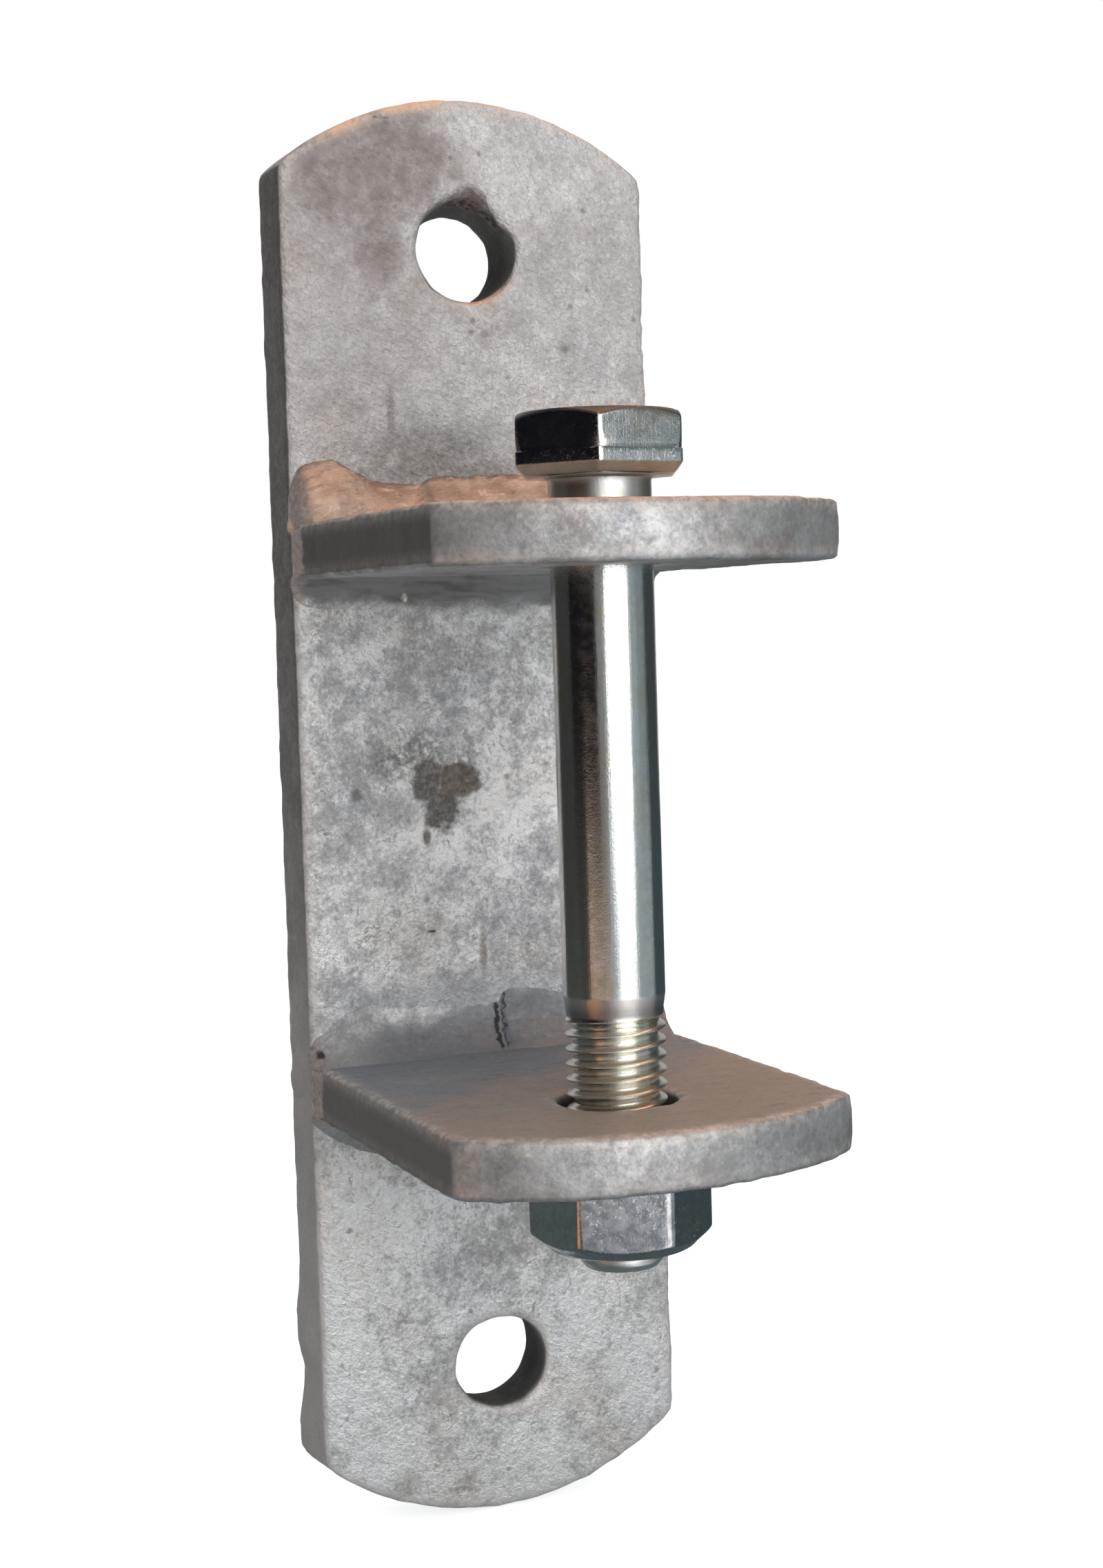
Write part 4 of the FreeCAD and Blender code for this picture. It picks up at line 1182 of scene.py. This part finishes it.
    # Stains, film, torn rim and the painted bore shade make the plate rougher and less metallic.
    soiled_and_shaded = most(film, dark, torn, bore)
    rough = (soiled_and_shaded * 0.2 + zinc["Crystals"].spread(0, 1, 0.6, 0.36)).held()
    metal = 0.54 - most(soiled_and_shaded, side * 0.6, worn) * 0.3
    hammered = place.cloud(0.62, 4, 0.6, 0.2, (0.6, 1, 1), 35)
    relief = hammered * upper.spread(0, 1, 0.7, 1.8) + zinc["Relief"] - most(dark, cracks) * 0.2
    return dress(material, colour, rough, metal, relief, 0.26 * MM)


def dipped_lug_finish():
    """Dipped zinc of the lugs: smoother fronts, a dull film on top with painted warm light and painted cool
    shade, and painted shade on the left sides and in the bores.
    """
    tones = bpy.context.scene.bracket_finishes
    material, place = new_material("dipped_zinc_lugs")
    zinc = place.through("zinc_crystals", Size=tones.crystal_size * 1.4 / MM)
    axes, facing, bore = place.axes(), place.facing(), place.painted("bore")
    speckled = place.cloud(0.6, 5, 0.75)
    colour = (zinc["Crystals"] * 0.6).between(times(tones.dull_zinc, 0.8), times(tones.bright_zinc, 0.92))
    hue = place.cloud(8)
    colour = hue.spread(0.52, 0.72, 0, 0.7).between(colour, (0.72, 0.75, 0.86), "MULTIPLY")
    colour = hue.spread(0.46, 0.28, 0, 0.7).between(colour, (0.8, 0.72, 0.7), "MULTIPLY")
    spots = place.cloud(1.2, 2).spread(0.72, 0.78)
    colour = (spots * 0.45).between(colour, tones.dark_stain)
    # Faces that look up take the dull film with painted warm light and painted cool shade.
    film = facing["Z"].spread(0.45, 0.9)
    colour = film.between(colour, top_tone_with_painted_light(place, tones))

    # Painted shade on the lugs' left sides, darker on the upper lug.
    sideways = facing["X"].spread(-0.75, -0.95)
    plain = sideways * 0.97
    side_shade_tone = axes["Z"].spread(10, -10).between((0.135, 0.125, 0.12), (0.2, 0.188, 0.18))
    side_shade_tone = speckled.spread(0.58, 0.78, 0, 0.35).between(side_shade_tone, (0.36, 0.34, 0.33))
    colour = plain.between(colour, side_shade_tone)
    by_weld = (place.cloud(1.8, 4, 0.6) * 4.5 + axes["Y"]).spread(-13.2, -11.4)
    run = speckled.spread(0.35, 0.65).between((0.36, 0.3, 0.27), (0.62, 0.52, 0.47))
    colour = (sideways * by_weld).between(colour, run)
    lit = place.cloud(1.3, 5, 0.7).spread(0.42, 0.6, sideways.spread(0, 1, 0.1, 0.2),
                                          sideways.spread(0, 1, 0.8, 0.4))
    lit = place.painted("edge") * lit * facing["Z"].spread(-0.6, 0.1)
    colour = lit.between(colour, (0.78, 0.7, 0.64))
    # Painted shade in the bolt's hole.
    colour = (bore * 0.9).between(colour, times(tones.bore_shade, 0.6))

    # The top film with its painted light, the painted side shade and the painted bore shade make the lugs
    # rougher and less metallic.
    soiled_and_shaded = most(film, plain, bore)
    rough = soiled_and_shaded * 0.1 + zinc["Crystals"].spread(0, 1, 0.56, 0.46)
    metal = (0.78 - most(soiled_and_shaded, lit) * 0.4).held()
    relief = speckled * (film * 0.5 + 0.15) + zinc["Relief"]
    return dress(material, colour, rough, metal, relief, 0.09 * MM)


def dipped_weld_finish():
    """Smooth dull zinc over the welds, crystals at their toes, and the open lap and pit left black; painted
    warm light and glints on the upper weld, painted shade under the upper lug and where the welds meet plate
    and lug, and a painted warm highlight on a weld end.
    """
    tones = bpy.context.scene.bracket_finishes
    material, place = new_material("dipped_zinc_weld")
    zinc = place.through("zinc_crystals", Size=tones.crystal_size / MM)
    axes, facing = place.axes(), place.facing()
    upper, lower = axes["Z"].spread(35, 39), axes["Z"].spread(-10, -15)
    out = (place.cloud(2.5, 4) - 0.5) * 2.4 + axes["Y"]

    # The upper weld's warm tone is partly painted warm light from above; the other welds take the top film
    # with its painted light and shade.
    smooth = place.cloud(4, 5, 0.6).spread(0.3, 0.7).between((0.53, 0.4, 0.315), (0.82, 0.67, 0.565))
    smooth = upper.between(top_tone_with_painted_light(place, tones), smooth)
    drawn_out = place.cloud(2.6, 5, 0.6, 0.4, (0.3, 1, 1.3), 6)
    # Under the upper lug the weld is painted in streaked grey shade.
    below = drawn_out.spread(0.36, 0.62).between((0.27, 0.28, 0.285), (0.45, 0.46, 0.47))
    under = axes["Z"].spread(15, 20) * upper.spread(0, 1, 1, 0)
    smooth = under.between(smooth, below)
    reach_up = place.cloud(3.5, 5, 0.6) * 4 + axes["Z"] - axes["X"].spread(-14, 2) * 4
    filmed = reach_up.spread(-23.5, -26.5) * axes["X"].spread(-23.5, -14, 0.1, 1)
    shown = most(out.spread(-10, -11.2) * lower.spread(0, 1, 1, 0), upper * 0.85, lower * filmed)
    colour = shown.between(zinc["Crystals"].between(tones.dull_zinc, tones.bright_zinc), smooth)

    # Painted dark brown shade where the upper weld meets the plate.
    toe_shade = out.spread(-10.9, -10.1) * upper
    colour = (toe_shade * 0.7).between(colour, (0.22, 0.165, 0.135))
    flecks = place.cloud(1, 7, 0.78, 0.5, (0.5, 1, 1.2), -12)
    # Bright warm flecks on the upper weld: painted glints of warm light.
    colour = flecks.spread(0.52, 0.68, 0, upper * 0.9).between(colour, (1, 0.86, 0.76))
    colour = flecks.spread(0.44, 0.28, 0, upper * 0.8).between(colour, (0.34, 0.235, 0.18))
    streaks = place.cloud(1.1, 5, 0.65, 0.4, (0.35, 1, 1.5), -20)
    streaked = streaks.spread(0.53, 0.72, 0, upper.spread(0, 1, 0.15, 0.65))
    colour = streaked.between(colour, (0.25, 0.19, 0.155))

    uneven = (place.cloud(0.9, 4, 0.6) - 0.5) * 1.7 + (axes["X"] - 3.4) - axes["Z"] * 0.13
    lines = most(*(abs(uneven - across).spread(2 * wide, wide / 2, 0, weight)
                   for across, wide, weight in ((0.45, 0.22, 1), (1.35, 0.08, 0.7))))
    hook = place.stain((1.3, -10.6, -22.7), (1.5, 2, 0.28), 0.25, 0.4)
    lines = most(lines * place.stain((1, -12, -25.6), (3, 6, 5.2), 0.2, 0.1), hook * 0.8)
    pit = place.stain((-24.4, -12.2, -28.9), (0.6, 1.2, 0.65), 1.3, 0.3)
    black = most(lines, pit, zinc["Pits"] * 0.5)
    spatter = place.stain((-10.7, -11.9, 28.7), (0.55, 0.8, 0.55), 0.2, 0.3)
    colour = spatter.between(colour, (0.96, 0.9, 0.86))
    shaded = place.stain((4.2, -11, -24), (3.2, 4, 2.2), 0.5, 0.6) * 0.4
    colour = shaded.between(colour, (0.14, 0.145, 0.155))
    # Painted shade low on the lower lug's welds: where the top weld meets the lug, and all of the weld under
    # it.
    foot = axes["Z"].spread(-28.4, -30.4, 0, 0.45) * lower
    colour = foot.between(colour, (0.27, 0.275, 0.29))

    outer = place.cloud(1.4, 5, 0.65) * 2.8 + abs(axes["X"])
    capped = most(outer.spread(24.6, 26.4), abs(facing["X"]).spread(0.6, 0.9))
    cap_tone = flecks.spread(0.36, 0.64).between((0.34, 0.285, 0.265), (0.62, 0.53, 0.5))
    # Behind the plate's front face the caps take the painted side shade.
    cap_tone = axes["Y"].spread(-9.9, -9.3).between(cap_tone, side_shade_by_height(place, axes))
    colour = (capped * 0.85).between(colour, cap_tone)
    # Painted warm highlight on the weld's end by the upper lug.
    colour = place.stain((-25, -10.4, 38.3), (1, 1.2, 0.9), 0.7, 0.5).between(colour, (0.98, 0.7, 0.52))
    colour = black.between(colour, (0.055, 0.053, 0.052))

    rough = black * 0.3 + zinc["Crystals"].spread(0, 1, 0.54, 0.44)
    dull = most(black, spatter, capped * 0.67, lower * 0.6)
    relief = streaks * upper.spread(0, 1, 0.3, 1.2) + zinc["Relief"] + flecks * upper - black * 0.5
    return dress(material, colour, rough, (0.76 - dull * 0.6).held(), relief, 0.14 * MM)


def plated_finish(name, dented):
    """Bright zinc plating of the bolt and the nut, dented and scuffed on the hexagons, with painted shade in
    cloudy patches on the faces that look to the front.
    """
    tones = bpy.context.scene.bracket_finishes
    material, place = new_material(name)
    about_bolt = place.vector("SUBTRACT", tuple(BOLT_AXIS / MM))
    haze = about_bolt.through("plating_haze")
    reach = about_bolt.vector("MULTIPLY", (1, 1, 0)).reach()
    height, facing = about_bolt.axes()["Z"], place.facing()
    hexagon, slim = reach.spread(8.2, 9), reach.spread(6.8, 6.4)
    trim_line = abs(height - 43.6).spread(1.1, 0.6)
    battered = hexagon * trim_line.spread(0, 1, dented, 1)
    scuffs = haze["Scuffs"] * most(battered, hexagon * reach.spread(10.3, 10.8))

    colour = (haze["Tint"] * 0.5).between(tones.plated_zinc, tones.plating_tint)
    hazy = haze["Haze"].spread(0.35, 0.65, 0, battered.spread(0, 1, 0.3, 0.6))
    colour = hazy.between(colour, (0.5, 0.54, 0.57))
    colour = (haze["Specks"] * 0.6).between(colour, (0.26, 0.25, 0.24))
    crown = facing["Z"].spread(0.25, 0.55) * height.spread(46.5, 47.2) * reach.spread(7.4, 8.4)
    colour = crown.between(colour, (0.1, 0.108, 0.115))
    # Painted shade on the hexagon faces that look to the front, in cloudy patches.
    painted_front_shade = facing["Y"].spread(-0.8, -0.92) * hexagon * 0.75 * dented
    front_shade_tone = haze["Dents"].spread(0.36, 0.64).between((0.33, 0.32, 0.34), (0.74, 0.72, 0.75))
    colour = painted_front_shade.between(colour, front_shade_tone)
    turned_neck = height.spread(-20.9, -20.2) * height.spread(-17.8, -18.3)
    neck_tone = height.spread(-18.2, -20.2).between((0.8, 0.77, 0.75), (0.46, 0.43, 0.41))
    colour = turned_neck.between(colour, neck_tone)
    threaded = height.spread(-20.4, -20.9) * slim
    colour = (threaded * 0.5).between(colour, (0.9, 0.87, 0.74))
    bolt_end = height.spread(-47.3, -47.9) * slim
    colour = bolt_end.between(colour, (0.97, 0.97, 0.96))
    colour = scuffs.between(colour, (0.97, 0.97, 0.98))

    near_head = height.spread(37.5, 39.5) * reach.spread(6.6, 6.2)
    rough = haze["Haze"].spread(0.3, 0.7, 0.11, 0.21) + most(near_head, turned_neck) * 0.18
    rough = rough + threaded * 0.08 + bolt_end * 0.16 + crown * 0.2 + most(haze["Specks"], scuffs) * 0.3
    relief = haze["Lines"] * 0.4 + haze["Haze"] * 0.5 + haze["Grain"] * 0.6
    relief = relief + haze["Dents"] * (battered * 2.6)
    return dress(material, colour, rough, 1, relief, 0.016 * MM)


# Stage

def lamp(name, place, target, width, height, watts, colour):
    light = bpy.data.lights.new(name, "AREA")
    light.shape = "RECTANGLE"
    light.size, light.size_y = width, height
    light.energy = watts
    light.color = colour
    holder = bpy.data.objects.new(name, light)
    bpy.context.scene.collection.objects.link(holder)
    holder.location = place
    holder.rotation_euler = (Vector(target) - Vector(place)).to_track_quat("-Z", "Y").to_euler()
    return holder


def bare_tree(owner):
    """The emptied node tree of a material or world."""
    owner.use_nodes = True
    owner.node_tree.nodes.clear()
    return owner.node_tree


def white_rays(tree):
    """1 for the camera's rays and for those that reach it through reflections and glass."""
    path = add_node(tree, "ShaderNodeLightPath").beside()
    return most(path["Is Camera Ray"], path["Is Glossy Ray"], path["Is Transmission Ray"])


def floor_material(tone_of_floor):
    """Pale floor that shows white to the camera, keeps the object's shadow and is clear from below."""
    material = bpy.data.materials.new("pale_floor")
    tree = bare_tree(material)
    matte = add_node(tree, "ShaderNodeBsdfDiffuse", {"Color": tuple(tone_of_floor)})
    glow = add_node(tree, "ShaderNodeEmission", {"Color": (1, 1, 1), "Strength": white_rays(tree) * 0.74})
    both = add_node(tree, "ShaderNodeAddShader", {0: matte, 1: glow})
    under = add_node(tree, "ShaderNodeNewGeometry", output="Backfacing")
    sided = add_node(tree, "ShaderNodeMixShader",
                     {0: under, 1: both, 2: add_node(tree, "ShaderNodeBsdfTransparent")})
    add_node(tree, "ShaderNodeOutputMaterial", {"Surface": sided})
    return material


def card(name, place, turn, width, height, tone_of_card):
    """A flat studio card that only reflections see."""
    leave_all()
    bpy.ops.mesh.primitive_plane_add(size=1.0, location=place, rotation=turn)
    piece = name_piece(name)
    piece.scale = (width, height, 1)
    settle(piece)
    material = bpy.data.materials.new(name)
    tree = bare_tree(material)
    glow = add_node(tree, "ShaderNodeEmission", {"Color": tone_of_card, "Strength": 1})
    add_node(tree, "ShaderNodeOutputMaterial", {"Surface": glow})
    piece.data.materials.append(material)
    for ray in ("camera", "diffuse", "transmission", "volume_scatter", "shadow"):
        setattr(piece, f"visible_{ray}", False)


def upright_card(name, bearing, distance, width, tone_of_card, foot=-0.7):
    """An upright card. Its bearing is in degrees from the front, to the right."""
    angle = math.radians(bearing)
    place = (distance * math.sin(angle), -0.03 - distance * math.cos(angle), foot + 1.0)
    card(name, place, (math.pi / 2, 0, angle), width, 2.0, tone_of_card)


def floor_card(name, edge, side, level, size, tone_of_card):
    """A card just over the floor. One of its edges runs forwards from under the bolt on the bearing."""
    angle = math.radians(edge)
    ahead, aside = (math.sin(angle), -math.cos(angle)), (math.cos(angle), math.sin(angle))
    place = [size / 2 * (side * aside[axis] + ahead[axis]) for axis in (0, 1)]
    card(name, (place[0], place[1] - 0.06, level), (0, 0, angle), size, size, tone_of_card)


def matched_camera():
    """The photograph's viewpoint: place, aim, tilt, focal length and the view's small shift."""
    yaw, pitch, roll = 0.41268, 0.06465, 0.02869
    focal, centre_u, centre_v = 3526.77, 899.97, 1124.69
    wide, tall = 1600, 2275
    ahead = Vector((math.sin(yaw), math.cos(yaw), 0))
    right = Vector((math.cos(yaw), -math.sin(yaw), 0))
    down = Vector((0, 0, -1))
    aim = ahead * math.cos(pitch) + down * math.sin(pitch)
    below = down * math.cos(pitch) - ahead * math.sin(pitch)
    across = right * math.cos(roll) + below * math.sin(roll)
    under = below * math.cos(roll) - right * math.sin(roll)
    data = bpy.data.cameras.new("photo_camera")
    holder = bpy.data.objects.new("photo_camera", data)
    bpy.context.scene.collection.objects.link(holder)
    turn = Matrix((across, -under, -aim)).transposed()
    holder.matrix_world = Matrix.Translation(Vector((-0.111697, -0.309770, 0.025541))) @ turn.to_4x4()
    data.sensor_width = 36.0
    data.lens = focal / tall * 36.0
    data.shift_x = -(centre_u - wide / 2) / tall
    data.shift_y = (centre_v - tall / 2) / tall
    data.clip_start, data.clip_end = 0.01, 50.0
    data.dof.use_dof = False
    bpy.context.scene.camera = holder


class BRACKET_OT_stage(bpy.types.Operator):
    """Pale floor, soft lamps, cards for the reflections and the matched camera"""
    bl_idname = "bracket.stage"
    bl_label = "Stage"
    bl_options = {"REGISTER", "UNDO"}

    def execute(self, context):
        settings = context.scene.bracket_stage
        leave_all()
        bpy.ops.mesh.primitive_plane_add(size=30.0, location=(0, 0, PLATE_LOW.z - 0.2 * MM))
        floor = name_piece("floor")
        settle(floor)
        floor.data.materials.append(floor_material(settings.floor_tone))

        lamp("key_lamp", (0.113, -1.02, 0.06), (0, 0, 0), 0.93, 1.20, settings.key_watts, (1.0, 0.995, 0.98))
        for name, bearing, reach, tone_of_card in (
                ("soft_card_left", -29.5, 10.5, (0.24, 0.235, 0.23)),
                ("black_card_left", -72, 32, (0.006, 0.006, 0.009)),
                ("dark_card_far_left", -131, 27, (0.04, 0.04, 0.04)),
                ("grey_card_back", 167, 35, (0.42, 0.42, 0.42)),
                ("light_card_right", 41.5, 10.5, (0.33, 0.38, 0.40)),
                ("grey_card_right", 63.5, 11.5, (0.22, 0.26, 0.27)),
                ("dark_card_right", 103.5, 28.5, (0.05, 0.06, 0.065))):
            upright_card(name, bearing, 1.15, 2.3 * math.tan(math.radians(reach)), tone_of_card)
        upright_card("grey_card_right_high", 42.5, 1.08, 0.44, (0.135, 0.158, 0.162), 0.085)
        level = PLATE_LOW.z - 0.12 * MM
        for name, edge, side, size, tone_of_card in (
                ("cool_card_below", -10, -1, 1.3, (0.34, 0.37, 0.40)),
                ("dark_card_below", -28, -1, 1.3, (0.045, 0.042, 0.04)),
                ("brown_card_below", -28, -1, 0.66, (0.50, 0.39, 0.32)),
                ("olive_card_below", -76, -1, 1.3, (0.05, 0.05, 0.043)),
                ("cool_card_below_right", 32, 1, 1.3, (0.32, 0.36, 0.38)),
                ("dark_card_below_right", 80, 1, 1.3, (0.05, 0.07, 0.08))):
            floor_card(name, edge, side, level, size, tone_of_card)
            level += 0.01 * MM
        card("teal_card_below", (-0.17, 0.08, level), (0, 0, math.radians(-137)), 0.5, 0.5,
             (0.075, 0.095, 0.10))
        card("orange_card_below", (-0.244, -0.14, level + 0.01 * MM), (0, 0, math.radians(-70)), 0.085, 0.28,
             (0.66, 0.33, 0.17))
        card("grey_card_above", (0, 0, 1.25), (math.pi, 0, 0), 2.6, 2.6, (0.16, 0.16, 0.17))
        warm = times(settings.warm_tone, settings.warm_strength)
        card("warm_card_above", (0.32, 0.06, 0.95), (math.pi, 0, 0), 0.9, 1.0, warm)

        world = bpy.data.worlds.new("studio_room")
        context.scene.world = world
        tree = bare_tree(world)
        strength = white_rays(tree).spread(0, 1, settings.ambient, 1)
        glow = add_node(tree, "ShaderNodeBackground", {"Color": (1, 1, 1), "Strength": strength})
        add_node(tree, "ShaderNodeOutputWorld", {"Surface": glow})

        context.scene.view_settings.view_transform = "Standard"
        matched_camera()
        return {"FINISHED"}


class BRACKET_PT_panel(bpy.types.Panel):
    """Builds each part of the bracket and edits its sizes"""
    bl_label = "Pipe wall bracket"
    bl_idname = "BRACKET_PT_panel"
    bl_space_type = "VIEW_3D"
    bl_region_type = "UI"
    bl_category = "Bracket"

    def draw(self, context):
        for step in STEPS:
            self.layout.operator(step.bl_idname)
        for name, group in SETTINGS.items():
            box = self.layout.box()
            box.label(text=group.__name__)
            for field in group.__annotations__:
                box.prop(getattr(context.scene, name), field)


STEPS = (BRACKET_OT_stage, BRACKET_OT_back_plate, BRACKET_OT_lugs, BRACKET_OT_welds, BRACKET_OT_bolt,
         BRACKET_OT_nut)
SETTINGS = {"bracket_bar": BarSizes, "bracket_weld": WeldSizes, "bracket_bolt": BoltSizes,
            "bracket_finishes": Finishes, "bracket_stage": StageSettings}


def register():
    for group in SETTINGS.values():
        bpy.utils.register_class(group)
    for name, group in SETTINGS.items():
        setattr(bpy.types.Scene, name, bpy.props.PointerProperty(type=group))
    for step in STEPS:
        bpy.utils.register_class(step)
    bpy.utils.register_class(BRACKET_PT_panel)


def unregister():
    bpy.utils.unregister_class(BRACKET_PT_panel)
    for step in reversed(STEPS):
        bpy.utils.unregister_class(step)
    for name in SETTINGS:
        delattr(bpy.types.Scene, name)
    for group in reversed(SETTINGS.values()):
        bpy.utils.unregister_class(group)


def main():
    register()
    for step in STEPS:
        family, action = step.bl_idname.split(".")
        getattr(getattr(bpy.ops, family), action)()
    leave_all()


if __name__ == "__main__":
    main()
